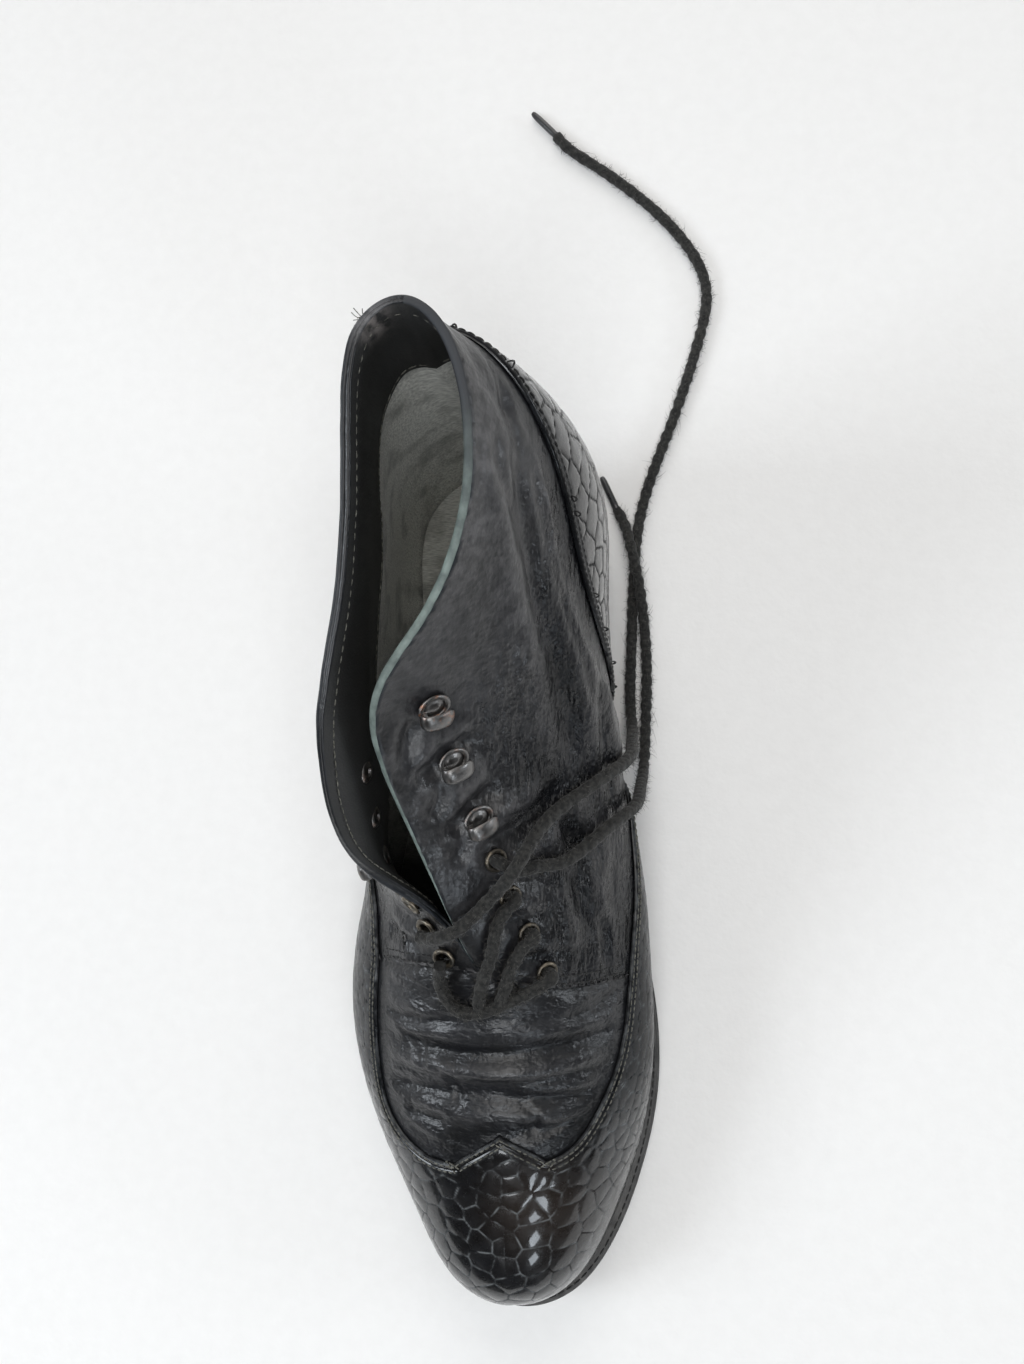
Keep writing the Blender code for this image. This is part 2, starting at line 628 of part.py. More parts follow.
def hook(name, frame):
    """Bent strip: base on the leather, bend on the side of the facing edge, tongue back over the base."""
    low, high = GAP + 0.1, HOOK_HEIGHT
    middle = (low + high) / 2
    bend = np.linspace(-math.pi / 2, math.pi / 2, 6)
    outside = []
    inside = []
    for a in bend:
        outside.append((HOOK_BASE + middle * math.cos(a), middle + (middle - low) * math.sin(a)))
        within = middle - low - HOOK_THICK
        inside.append((HOOK_BASE + (middle - HOOK_THICK) * math.cos(a), middle + within * math.sin(a)))
    lift = HOOK_THICK / 2
    lip = [(lift - HOOK_TONGUE, high + lift), (-HOOK_TONGUE, high), (lift - HOOK_TONGUE, high - lift)]
    outline = [(-HOOK_BASE, low)] + outside + lip + inside[::-1] + [(-HOOK_BASE, low + HOOK_THICK)]
    half = HOOK_WIDTH / 2
    bm = bmesh.new()
    near = [bm.verts.new(place(frame, (e, -half, h)) * MM) for e, h in outline]
    far = [bm.verts.new(place(frame, (e, half, h)) * MM) for e, h in outline]
    for i, a in enumerate(near):
        j = (i + 1) % len(near)
        bm.faces.new((a, near[j], far[j], far[i]))
    bm.faces.new(near)
    bm.faces.new(far)
    return make_object(name, bm, "metal")


def smooth_route(points):
    """Evenly spaced points on a smooth curve through a route's own points."""
    points = np.array(points, float)
    reach = along(points)
    fine = spline(reach, points, np.linspace(0, reach[-1], 20 * len(points)))
    walk = along(fine)
    steps = max(2, round(walk[-1] / LACE_STEP))
    even = np.linspace(0, walk[-1], steps + 1)
    return np.stack([np.interp(even, walk, fine[:, i]) for i in range(3)], axis=-1)


def swept(name, centres, radii, finish, sides=8):
    """Round rod along a line of centres with a radius at each."""
    ahead = unit(np.gradient(centres, axis=0))
    beside = unit(np.cross(ahead, (0.0, 0.0, 1.0)))
    over = np.cross(beside, ahead)
    angles = np.arange(sides) * 2 * math.pi / sides
    bm = bmesh.new()
    rings = []
    for centre, x_axis, y_axis, radius in zip(centres, beside, over, radii):
        ring = [centre + radius * (x_axis * math.cos(a) + y_axis * math.sin(a)) for a in angles]
        rings.append([bm.verts.new(p * MM) for p in ring])
    for near, far in zip(rings, rings[1:]):
        for i, a in enumerate(near):
            j = (i + 1) % sides
            bm.faces.new((a, near[j], far[j], far[i]))
    bm.faces.new(rings[0])
    bm.faces.new(rings[-1])
    return make_object(name, bm, finish)


def lace_bars():
    """Bar over the vamp with the strands that run into it, united into one solid."""
    rods = []
    for i, route in enumerate((LACE_BAR, *LACE_STRANDS)):
        name = f"lace_strand_{i}" if i else "lace_bars"
        rods.append(swept(name, np.array(route, float), [LACE / 2] * len(route), "lace"))
    bar, *strands = rods
    for strand in strands:
        strand.hide_render = True
        strand.display_type = "WIRE"
        join = bar.modifiers.new("join", "BOOLEAN")
        join.object = strand
        join.operation = "UNION"
        join.solver = "EXACT"
    return bar


def lace_end(which):
    """Free end of the lace as a bevelled curve, with the aglet on its tip."""
    points = smooth_route(LACE_ENDS[which])
    curve = bpy.data.curves.new(f"lace_end_{which}", "CURVE")
    curve.dimensions = "3D"
    curve.bevel_depth = LACE / 2 * MM
    curve.bevel_resolution = 2
    curve.use_fill_caps = True
    line = curve.splines.new("POLY")
    line.points.add(len(points) - 1)
    for knot, point in zip(line.points, points):
        knot.co = (*(point * MM), 1.0)
    curve.materials.append(material("lace"))
    made = bpy.data.objects.new(curve.name, curve)
    bpy.context.scene.collection.objects.link(made)

    ahead = unit((points[-1] - points[-2]) * (1.0, 1.0, AGLET_DIP))
    shape = ((GAP, AGLET / 2), (AGLET_LENGTH * 0.85, AGLET / 2), (AGLET_LENGTH, AGLET * 0.36))
    centres = np.array([points[-1] + ahead * reach for reach, _ in shape])
    swept(f"aglet_{which}", centres, [radius for _, radius in shape], "plastic")
    return made


def build():
    for old in list(bpy.data.objects):
        bpy.data.objects.remove(old, do_unlink=True)
    for layer in HEEL_LAYERS:
        heel_layer(*layer)
    sole_plate("outsole", "rubber", no_inset, OUTSOLE_THICK, underside, OUTSOLE_BEVEL)
    welt_ring()
    sole_plate("insole", "cloth", insole_inset, INSOLE_THICK, feather, INSOLE_BEVEL)
    upper = upper_shell()
    toe_cap()
    heel_counter()
    for side in SIDES:
        for row, place_on_side in enumerate(EYELET_ROWS[side], start=1):
            seat = lacing_frame(side, *place_on_side)
            hole_cutter(upper, seat)
            eyelet(f"eyelet_{side}_{row}", seat)
        for row, place_on_side in enumerate(HOOK_ROWS[side], start=1):
            hook(f"hook_{side}_{row}", lacing_frame(side, *place_on_side))
    lace_bars()
    for which in LACE_ENDS:
        lace_end(which)


build()
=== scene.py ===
"""Looks of the lace-up ankle boot for the right foot: worn black leather, embossed cap and counter.

The frame has +Z up, +Y towards the heel and +X towards the inner side of the foot.
A station is the distance from the heel back towards the toe. Tables are in millimetres.
"""
import math

import bmesh
import bpy
import numpy as np
from mathutils import Matrix, Vector, noise
from mathutils.kdtree import KDTree


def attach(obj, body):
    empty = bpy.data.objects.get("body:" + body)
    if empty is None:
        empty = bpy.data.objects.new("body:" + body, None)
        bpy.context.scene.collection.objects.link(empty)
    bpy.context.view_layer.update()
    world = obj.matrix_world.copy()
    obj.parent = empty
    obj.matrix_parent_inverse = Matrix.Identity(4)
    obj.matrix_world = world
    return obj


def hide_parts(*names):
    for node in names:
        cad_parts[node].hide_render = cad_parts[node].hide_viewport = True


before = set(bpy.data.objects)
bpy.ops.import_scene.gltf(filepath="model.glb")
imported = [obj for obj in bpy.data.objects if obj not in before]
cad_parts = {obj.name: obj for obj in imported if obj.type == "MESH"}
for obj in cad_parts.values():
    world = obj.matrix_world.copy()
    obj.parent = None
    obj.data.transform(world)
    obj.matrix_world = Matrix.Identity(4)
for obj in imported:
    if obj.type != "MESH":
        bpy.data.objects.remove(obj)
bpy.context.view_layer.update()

MM = 0.001
SEED = 7

# Camera: its place over the boot, the photograph's focal length and aim, and the focal length used
CAMERA_AT = (52.0, 27.0, 400.0)
PHOTO_SIZE = (1024, 1364)
PHOTO_FOCAL = 1025.0
AIM_PIXEL = (376.0, 575.0)
FRAME_FOCAL = 1080.0
SENSOR = 36.0

# Driving dimensions of the boot in millimetres
LENGTH = 292.0
HEEL_Y = LENGTH / 2
HEEL_HEIGHT = 22.0
HEEL_BREAST = 76.0
TOP_LIFT = 6.0
FLAT_START = 178.0
FLAT_END = 212.0
TOE_SPRING = 10.0
OUTSOLE_THICK = 5.0
WELT_THICK = 2.7
WELT_REACH = 3.2
WELT_REACH_TOE = 5.5
REACH_START = 110.0
REACH_END = 190.0
WELT_WIDTH = 9.0
WELT_EDGE = 0.4
INSOLE_THICK = 3.0
INSOLE_EASE = 1.0
GAP = 0.3
WALL = 1.8
QUARTER_STEP = 0.9
OVERLAY_GAP = 0.35
OVERLAY_THICK = 1.2
EYELET_HOLE = 2.0
EYELET_SLEEVE = 2.4
EYELET_CUT = 2.75
EYELET_RIM = 3.6
LACE = 4.0
LACE_STEP = 2.5 * LACE
AGLET_LENGTH = 14.0
AGLET = 2.6
AGLET_DIP = 0.3

# Sole edge: station, x of the outer side, x of the inner side
SOLE_BACK = (2.0, 0.0)
SOLE_TIP = (4.0, LENGTH)
SOLE_BREADTHS = (
    (20, -30.5, 32.5),
    (50, -33.5, 36.0),
    (80, -33.0, 34.5),
    (112, -36.0, 34.0),
    (150, -46.5, 41.5),
    (190, -53.0, 50.5),
    (222, -48.5, 51.3),
    (250, -37.5, 44.8),
    (273, -25.0, 34.5),
    (285, -14.5, 24.2),
)

# Ribs of the upper, each a Bezier from the welt to the collar, the facing or the ridge of the vamp.
# Columns: foot station, then the low handle (out, up), the top point (x, station, z) and the top
# handle (out, drop, forward)
RIBS = {
    "lateral": (
        ("back", 0, 8, 38, -4.4, 4, 164.5, -9, 40, 0),
        ("heel", 26, 8, 34, -18.5, 15, 162, -2, 42, 0),
        ("ankle", 66, 10, 30, -22.0, 52, 152, -2, 42, 0),
        ("collar", 100, 14, 26, -29.8, 90, 140, -10, 36, 0),
        ("corner", 116, 16, 24, -33.4, 110, 131, -20, 32, 0),
        ("facing", 138, 18, 22, -30.0, 136, 112, -15, 26, 0),
        ("flap", 158, 18, 22, -13.0, 152, 91, 6, 18, 0),
        ("throat", 176, 18, 22, -1.0, 172, 75, 26, 3, 0),
        ("ball", 204, 16, 21, 2.0, 200, 64, 30, 1, 0),
        ("vamp", 230, 12, 19, 2.5, 226, 55.5, 26, 1, 0),
        ("cap", 258, 9, 17, 3.0, 245, 50.5, 20, 1, 0),
        ("toe", 278, 8, 16, 3.0, 256, 47.5, 17, 1, 0),
        ("tip", 292, 0, 15, 3.0, 262, 45.5, 16, 1, 0),
    ),
    "medial": (
        ("back", 0, 8, 38, -4.4, 4, 164.5, -9, 40, 0),
        ("heel", 26, 10, 60, 7.0, 17, 162, 20, 40, 0),
        ("ankle", 66, 12, 44, 9.5, 44, 156, 20, 42, 0),
        ("collar", 96, 24, 34, -2.0, 74, 146, 24, 36, 0),
        ("corner", 116, 34, 28, -18.0, 98, 136, 24, 30, 0),
        ("facing", 138, 32, 24, -15.0, 126, 112, 28, 18, 0),
        ("flap", 158, 27, 22, -8.0, 150, 93, 28, 9, 5),
        ("throat", 176, 19, 22, -1.0, 172, 75, 28, 9, 18),
        ("ball", 204, 10, 21, 2.0, 200, 64, 28, 2, 5),
        ("vamp", 230, 4, 19, 2.5, 226, 55.5, 24, 1, 0),
        ("cap", 258, 0, 17, 3.0, 245, 50.5, 18, 1, 0),
        ("toe", 278, 0, 16, 3.0, 256, 47.5, 16, 1, 0),
        ("tip", 292, 0, 15, 3.0, 262, 45.5, 16, 1, 0),
    ),
}
SIDES = ("lateral", "medial")
RIB_NAMES = [row[0] for row in RIBS["lateral"]]
THROAT = RIB_NAMES.index("throat")
LAST_RIB = len(RIB_NAMES) - 1

# Surface of the upper: ribs and rise over which the normals of both sides come together at the slit, rise
# up to which offsets stay level over the welt, and where the quarters' step sets in and fades out
SLIT_RIBS = 1.5
SLIT_RISE = 0.8
SLIT_FADE = 0.2
LEVEL_RISE = 0.12
SEAM_CELL = 0.1
STEP_SHARE = 0.6
THROAT_RIBS = 0.4
THROAT_RISE = 0.85
THROAT_FADE = 0.15
# Samples of the sole edge, the step that gives its direction, and ribs beside one that count as near
EDGE_SAMPLES = 401
EDGE_STEP = 0.01
NEARBY_RIBS = (-0.25, 0.0, 0.25)

# Seams on the upper: rib number, rise from welt (0) to top edge (1). The weights of rib and rise make
# steps along a seam comparable
SEAM_WEIGHTS = (1.0, 6.0)
LOW_RISE = 0.02
SCALLOP_RIB = 9.2
SCALLOP_RISE = 0.79
WING_SEAM = {
    "lateral": ((3.6, LOW_RISE), (4.2, 0.2), (5.0, 0.34), (6.0, 0.46), (7.0, 0.55), (8.0, 0.51),
                (8.6, 0.49), (9.0, 0.59), (SCALLOP_RIB, SCALLOP_RISE)),
    "medial": ((3.6, LOW_RISE), (4.2, 0.17), (5.0, 0.27), (6.0, 0.34), (7.0, 0.42), (8.0, 0.5),
               (8.6, 0.58), (9.0, 0.67), (SCALLOP_RIB, SCALLOP_RISE)),
}
WING_PEAK = 8.93
COUNTER_SEAM = ((0.0, 0.87), (0.8, 0.83), (1.3, 0.74), (1.7, 0.64), (2.1, 0.53), (2.45, 0.37),
                (2.75, 0.17), (2.9, 0.07))

# Rows of the lacing from the throat up: rib number and distance from the facing edge
EYELET_ROWS = {
    "lateral": ((6.82, 9), (6.37, 10.3), (5.91, 12.3), (5.46, 15)),
    "medial": ((6.80, 24), (6.36, 22), (5.96, 20), (5.54, 20)),
}
HOOK_ROWS = {
    "lateral": ((4.98, 18), (4.52, 19.5), (4.06, 17.5)),
    "medial": ((5.05, 20.5), (4.45, 21.5), (3.90, 17.5)),
}

# Lace: listed points (x, y, z) of its centre line
LACE_BAR = (
    (20.5, -27.6, 71.1), (16.4, -30.6, 72.1), (11.0, -33.2, 72.4), (5.0, -36.0, 73.2), (-1.4, -38.2, 73.0),
    (-7.4, -38.0, 72.1), (-11.6, -34.0, 72.4), (-13.0, -28.8, 74.6), (-12.2, -23.7, 78.9),
)
LACE_STRANDS = (
    ((16.0, -15.1, 79.7), (13.6, -17.1, 80.3), (11.0, -20.6, 79.5), (8.5, -25.2, 77.8), (6.9, -30.0, 75.4),
     (4.9, -35.8, 73.2)),
    ((11.6, -3.6, 87.5), (9.1, -6.2, 87.8), (5.6, -12.6, 86.3), (3.9, -19.8, 82.9), (1.9, -24.8, 80.1),
     (-0.3, -30.5, 76.4), (-1.6, -38.0, 73.0)),
)
LACE_ENDS = {
    "long": (
        (-17.6, -14.9, 81.9), (-14.5, -15.2, 84.6), (-10.5, -14.3, 89.4), (-5.6, -12.2, 92.2),
        (-0.6, -8.3, 92.5), (4.5, -3.2, 92.4), (8.2, 0.6, 94.2), (12.6, 6.0, 97.2), (16.4, 12.8, 93.0),
        (23.1, 22.0, 83.5), (30.5, 27.7, 76.0), (38.0, 33.2, 67.4), (43.8, 38.8, 52.0), (44.2, 43.0, 36.0),
        (44.0, 47.0, 18.0), (43.6, 53.0, 6.5), (43.1, 62.0, 2.5), (43.5, 75.0, 2.4), (44.0, 88.3, 2.4),
        (45.0, 108.1, 2.4), (47.3, 128.7, 2.4), (59.0, 163.6, 2.4), (70.6, 198.5, 2.4), (73.3, 217.9, 2.4),
        (64.8, 237.3, 2.4), (47.3, 256.7, 2.4), (28.4, 272.2, 2.4), (20.6, 278.6, 2.4), (16.9, 283.2, 2.3),
    ),
    "short": (
        (8.3, 7.2, 93.9), (10.4, 5.8, 91.1), (13.2, 5.2, 88.5), (17.2, 6.0, 85.1), (22.7, 6.4, 79.9),
        (30.4, 10.8, 72.6), (38.2, 17.4, 63.6), (45.3, 23.2, 50.0), (46.6, 27.5, 34.0), (47.2, 32.0, 17.0),
        (47.9, 38.5, 6.0), (48.4, 48.0, 2.5), (48.9, 60.0, 2.4), (49.2, 76.0, 2.4), (48.7, 86.0, 3.0),
        (47.8, 96.0, 5.4), (46.6, 105.0, 6.8), (45.3, 112.0, 6.9), (43.6, 119.5, 6.0), (42.2, 125.5, 3.8),
        (40.6, 129.6, 2.6), (38.8, 133.0, 2.2),
    ),
}

# Creases over the vamp: depth, width and points (x, station)
VAMP_CREASES = (
    (1.5, 2.7, ((-34, 195), (-5, 198.5), (18, 197), (44, 191))),
    (1.1, 1.9, ((-38, 204), (0, 207.5), (40, 203.5))),
    (2.1, 3.0, ((-39, 210.5), (-15, 211.5), (5, 212), (17, 213.3), (40, 213))),
    (1.8, 2.9, ((6, 222), (20, 222.8), (36, 219))),
    (1.4, 2.6, ((-30, 218.5), (-14, 222))),
    (1.0, 1.7, ((-36, 187), (-22, 189), (-8, 188))),
    (1.2, 2.0, ((22, 189), (34, 185), (46, 178))),
    (0.8, 1.2, ((-20, 201), (-12, 208), (-10, 216))),
    (0.7, 1.1, ((8, 214), (14, 219), (12, 225))),
    (0.7, 1.1, ((-30, 192), (-22, 199), (-20, 206))),
)

# Folds of the quarters: shares of depth and width, then side, depth, width and points (rib, rise)
FOLD_DEPTH = 1.25
FOLD_WIDTH = 1.2
QUARTER_FOLDS = (
    ("medial", 2.0, 3.4, ((1.26, 0.86), (1.63, 0.86), (2.0, 0.83), (2.31, 0.78), (2.67, 0.71),
                          (2.95, 0.64), (3.31, 0.58), (3.79, 0.52), (4.39, 0.51))),
    ("medial", 1.5, 2.6, ((0.80, 0.80), (1.02, 0.85), (1.20, 0.86), (1.40, 0.89))),
    ("medial", 0.7, 1.5, ((1.50, 0.92), (1.81, 0.93), (2.10, 0.87), (2.40, 0.81))),
    ("medial", 1.0, 1.7, ((1.47, 0.80), (1.74, 0.78), (1.99, 0.75), (2.30, 0.69), (2.62, 0.60))),
    ("medial", 1.0, 1.7, ((1.23, 0.74), (1.57, 0.73), (1.89, 0.70), (2.17, 0.65), (2.45, 0.58))),
    ("medial", 0.9, 1.5, ((1.64, 0.75), (1.74, 0.69), (1.91, 0.65), (2.10, 0.58), (2.40, 0.50))),
    ("medial", 0.8, 1.5, ((2.37, 0.67), (2.62, 0.60), (2.93, 0.52), (3.35, 0.46))),
    ("medial", 1.0, 2.4, ((2.82, 0.47), (3.35, 0.41), (4.17, 0.37), (4.81, 0.40))),
    ("medial", 1.3, 2.0, ((4.05, 0.90), (4.30, 0.92), (4.56, 0.95))),
    ("medial", 1.8, 2.4, ((4.15, 0.75), (4.38, 0.82), (4.57, 0.89), (4.70, 0.95))),
    ("medial", 1.2, 2.0, ((4.64, 0.88), (4.86, 0.90), (5.07, 0.94))),
    ("medial", 1.8, 2.4, ((4.66, 0.73), (4.92, 0.81), (5.12, 0.88), (5.22, 0.93))),
    ("medial", 1.2, 2.0, ((5.20, 0.87), (5.38, 0.89), (5.55, 0.92))),
    ("medial", 1.7, 2.8, ((4.50, 0.57), (4.78, 0.61), (5.09, 0.69), (5.33, 0.79), (5.50, 0.87))),
    ("medial", 1.6, 2.6, ((4.95, 0.60), (5.25, 0.58), (5.45, 0.57))),
    ("medial", 1.5, 2.4, ((5.60, 0.60), (5.96, 0.59), (6.24, 0.58), (6.50, 0.56))),
    ("medial", 1.0, 1.8, ((6.15, 0.53), (6.50, 0.52), (6.78, 0.52))),
    ("medial", 0.9, 1.8, ((5.74, 0.68), (5.80, 0.78), (5.76, 0.86))),
    ("medial", 0.9, 1.8, ((6.18, 0.66), (6.20, 0.75), (6.30, 0.86), (6.60, 0.92))),
    ("medial", 0.8, 1.6, ((6.60, 0.64), (6.62, 0.74), (6.69, 0.86))),
    ("lateral", 0.9, 2.0, ((6.13, 0.63), (6.30, 0.75), (6.35, 0.88))),
    ("lateral", 0.8, 1.8, ((6.47, 0.58), (6.65, 0.70), (6.73, 0.80))),
    ("lateral", 0.45, 3.6, ((1.4, 0.80), (2.4, 0.70), (3.4, 0.62))),
    ("lateral", 0.4, 3.4, ((2.2, 0.86), (3.1, 0.78), (4.0, 0.66))),
    ("lateral", 0.4, 2.8, ((3.6, 0.50), (4.4, 0.58), (5.2, 0.60))),
)

# Fine grids: steps between the ribs and along them
UPPER_RIB_STEPS = (18, 18, 18, 16, 16, 18, 18, 36, 34, 12, 6, 5)
UPPER_RISES = 100
LINING_ROWS = 22
BAND_ROWS = 8
RIM_ROWS = 9
RIM_BULGE = 0.7
RIM_GROOVE = 0.45
BAND_DEPTH = 35.0
FRONT_DEPTH = 52.0
HEEL_GRIP_DEPTH = 31.0
BAND_STEP = 0.6

# Places on a smooth line for each of its own points
FINE_STEPS = 20
# Points closer than this are welded, and edges shorter than this are dropped, in metres
WELD = 0.000002
SLIVER = 0.000001
# Values that a mesh carries for its finish
SHADES = ("wear", "grain", "groove", "tint")


def spline(knots, rows, at):
    """Natural cubic spline through rows at knots."""
    knots = np.asarray(knots, float)
    rows = np.asarray(rows, float)
    steps = np.diff(knots)
    count = len(knots)
    system = np.eye(count)
    bends = np.zeros_like(rows)
    for i in range(1, count - 1):
        system[i, i - 1:i + 2] = steps[i - 1], 2 * (steps[i - 1] + steps[i]), steps[i]
        bends[i] = 6 * ((rows[i + 1] - rows[i]) / steps[i] - (rows[i] - rows[i - 1]) / steps[i - 1])
    bends = np.linalg.solve(system, bends)
    at = np.asarray(at, float)
    k = np.clip(np.searchsorted(knots, at, side="right") - 1, 0, count - 2)
    width = steps[k]
    ahead = at - knots[k]
    if rows.ndim > 1:
        width = width[..., None]
        ahead = ahead[..., None]
    left = width - ahead
    curve = (bends[k] * left**3 + bends[k + 1] * ahead**3) / (6 * width)
    near = (rows[k] / width - bends[k] * width / 6) * left
    far = (rows[k + 1] / width - bends[k + 1] * width / 6) * ahead
    return curve + near + far


def along(points):
    """Distance along a line of points."""
    return np.concatenate([[0.0], np.cumsum(np.linalg.norm(np.diff(points, axis=0), axis=1))])


def ramp(value):
    """Smooth step from 0 to 1."""
    value = np.clip(value, 0.0, 1.0)
    return value * value * (3 - 2 * value)


def bell(value):
    """Soft hump of height 1 and width about 1."""
    return np.exp(-np.square(value))


def lumps(points, fineness):
    """Smooth noise at points, about -1 to 1."""
    values = [noise.noise(Vector(p) * fineness) for p in points.reshape(-1, 3)]
    return np.array(values).reshape(points.shape[:-1])


def unit(vectors):
    return vectors / np.maximum(np.linalg.norm(vectors, axis=-1, keepdims=True), 1e-9)


def between(at, knots, rows):
    """Rows read off in straight lines between knots."""
    return np.stack([np.interp(at, knots, column) for column in rows.T], axis=-1)


def even_line(points, step):
    """Evenly spaced points on a smooth curve through a line's own points."""
    points = np.array(points, float)
    reach = along(points)
    fine = spline(reach, points, np.linspace(0, reach[-1], FINE_STEPS * len(points)))
    walk = along(fine)
    steps = max(2, round(walk[-1] / step))
    return between(np.linspace(0, walk[-1], steps + 1), walk, fine)


def sole_edges():
    """Sole edge of each side from heel back to toe tip: share of its length, points, outward normals."""
    rows = np.array(SOLE_BREADTHS, float)
    outer = rows[:, [1, 0]]
    inner = rows[::-1, [2, 0]]
    lap = np.concatenate([[SOLE_BACK], outer, [SOLE_TIP], inner])
    laps = np.concatenate([lap, lap, lap])
    reach = along(laps)
    start, tip, end = reach[[len(lap), len(lap) + len(outer) + 1, 2 * len(lap)]]
    edges = {}
    for side, first, last in (("lateral", start, tip), ("medial", end, tip)):
        share = np.linspace(0.0, 1.0, EDGE_SAMPLES)
        at = first + (last - first) * share
        points = spline(reach, laps, at)
        ahead = spline(reach, laps, at + EDGE_STEP) - spline(reach, laps, at - EDGE_STEP)
        normals = unit(np.stack([-ahead[:, 1], ahead[:, 0]], axis=1))
        edges[side] = share, points, normals
    return edges


EDGES = sole_edges()


def edge(side, share, inset):
    """Point of the sole edge, moved in by inset, and the outward normal there (x, station)."""
    shares, points, normals = EDGES[side]
    normal = unit(between(share, shares, normals))
    return between(share, shares, points) - normal * np.asarray(inset)[..., None], normal


def underside(station):
    """Height of the outsole's underside: heel seat, waist, flat tread and toe spring."""
    waist = ramp((station - HEEL_BREAST) / (FLAT_START - HEEL_BREAST))
    spring = np.clip((station - FLAT_END) / (LENGTH - FLAT_END), 0.0, None) ** 2
    return HEEL_HEIGHT * (1 - waist) + TOE_SPRING * spring


def welt_foot(station):
    return underside(station) + OUTSOLE_THICK + GAP


def feather(station):
    """Height at which the upper starts, just over the welt."""
    return welt_foot(station) + WELT_THICK + GAP


def welt_reach(station):
    """How far the sole stands out from the upper: least at the heel, more round the forepart."""
    share = ramp((station - REACH_START) / (REACH_END - REACH_START))
    return WELT_REACH + (WELT_REACH_TOE - WELT_REACH) * share


def insole_inset(station):
    return welt_reach(station) + WALL + INSOLE_EASE


def nought(station):
    return np.zeros(np.shape(station))


def to_world(x, station, z):
    return np.stack([x, HEEL_Y - station, z], axis=-1)


def edge_line(side, share, inset, ground, height):
    """World points of the sole edge, moved in by inset and up by a height from the ground below it."""
    points, _ = edge(side, share, inset)
    return to_world(points[:, 0], points[:, 1], ground(points[:, 1]) + height)


def last_points(side, rib, rise):
    """Points of the upper's outer surface in world millimetres."""
    table = np.array([row[1:] for row in RIBS[side]], float)
    numbers = np.arange(len(table))
    shares, points, _ = EDGES[side]
    feet = np.interp(table[:, 0], points[:, 1], shares)
    feet[0], feet[-1] = 0.0, 1.0
    share = np.clip(spline(numbers, feet, rib), 0.0, 1.0)
    rim, _ = edge(side, share, nought(share))
    foot, out = edge(side, share, welt_reach(rim[..., 1]))
    low = spline(numbers, table[:, 1:3], rib)
    handle = spline(numbers, table[:, 6:9], rib)
    across = np.array([row[4:7] for row in RIBS[SIDES[1 - SIDES.index(side)]]], float)
    shaft_rows = np.concatenate([across[THROAT:0:-1], table[:THROAT + 1, 3:6]])
    shaft = spline(np.arange(-THROAT, THROAT + 1), shaft_rows, rib)
    ridge = spline(numbers[THROAT:], table[THROAT:, 3:6], rib)
    top = np.where(np.asarray(rib)[..., None] <= THROAT, shaft, ridge)

    start = to_world(foot[..., 0], foot[..., 1], feather(foot[..., 1]))
    end = to_world(top[..., 0], top[..., 1], top[..., 2])
    zero = np.zeros(np.shape(rib))
    outward = np.stack([out[..., 0], -out[..., 1], zero], axis=-1)
    up = np.array([0.0, 0.0, 1.0])
    toeward = np.array([0.0, -1.0, 0.0])
    first = start + outward * low[..., :1] + up * low[..., 1:]
    second = end + outward * handle[..., :1] - up * handle[..., 1:2] + toeward * handle[..., 2:]
    v = np.asarray(rise, float)[..., None]
    w = 1 - v
    return w**3 * start + 3 * w**2 * v * first + 3 * w * v**2 * second + v**3 * end


def own_normals(side, rib, rise):
    """Outward normals of one side, read just below the top edge, where the toe's ribs run together."""
    step = 0.004
    rise = np.minimum(rise, 0.99)
    before, after = np.clip(rib - step, 0, LAST_RIB), np.clip(rib + step, 0, LAST_RIB)
    after = np.where((rib <= THROAT) & (after > THROAT), THROAT, after)
    below, above = np.clip(rise - step, 0, 1), np.clip(rise + step, 0, 1)
    forward = last_points(side, after, rise) - last_points(side, before, rise)
    upward = last_points(side, rib, above) - last_points(side, rib, below)
    turn = 1.0 if side == "lateral" else -1.0
    return unit(np.cross(forward, upward) * turn)


def last_sheet(side, rib, rise):
    """Points and outward normals; both sides agree where they join. Level offsets next to the welt."""
    rib, rise = np.broadcast_arrays(np.asarray(rib, float), np.asarray(rise, float))
    points = last_points(side, rib, rise)
    normals = own_normals(side, rib, rise)
    other = SIDES[1 - SIDES.index(side)]
    joined = (rib <= 0) | (rib >= LAST_RIB) | ((rise >= 1) & (rib >= THROAT))
    near_slit = ramp(rib - THROAT + SLIT_RIBS) * ramp((rise - SLIT_RISE) / SLIT_FADE) * (rib < THROAT)
    share = np.where(joined, 1.0, near_slit)[..., None]
    normals = unit(normals + share * own_normals(other, rib, rise))
    level = np.where(normals[..., 2] < 0, ramp(rise / LEVEL_RISE), 1.0)
    normals = unit(normals * np.stack([np.ones_like(level), np.ones_like(level), level], axis=-1))
    return points, normals


def seam_line(places, count):
    """Smooth line through places (rib, rise) of the upper."""
    rows = np.array(places, float)
    reach = along(rows * SEAM_WEIGHTS)
    return spline(reach, rows, np.linspace(0, reach[-1], count))


def wing_seam(side, count):
    """Seam of the winged toe cap as (rib, rise) rows from its tail to the scallop."""
    return seam_line(WING_SEAM[side], count)


def peak_seam(bend):
    """Seam from the scallop (0) back to the peak on the ridge (1) as (rib, rise)."""
    rise = SCALLOP_RISE + (1 - SCALLOP_RISE) * (1 - np.cos(bend * math.pi / 2))
    return SCALLOP_RIB + (WING_PEAK - SCALLOP_RIB) * bend**1.5, rise


def counter_rise(rib):
    rows = np.array(COUNTER_SEAM, float)
    rise = spline(rows[:, 0], rows[:, 1], np.clip(rib, 0, rows[-1, 0]))
    return np.where(rib <= rows[-1, 0], np.clip(rise, LOW_RISE, 1.0), 0.0)


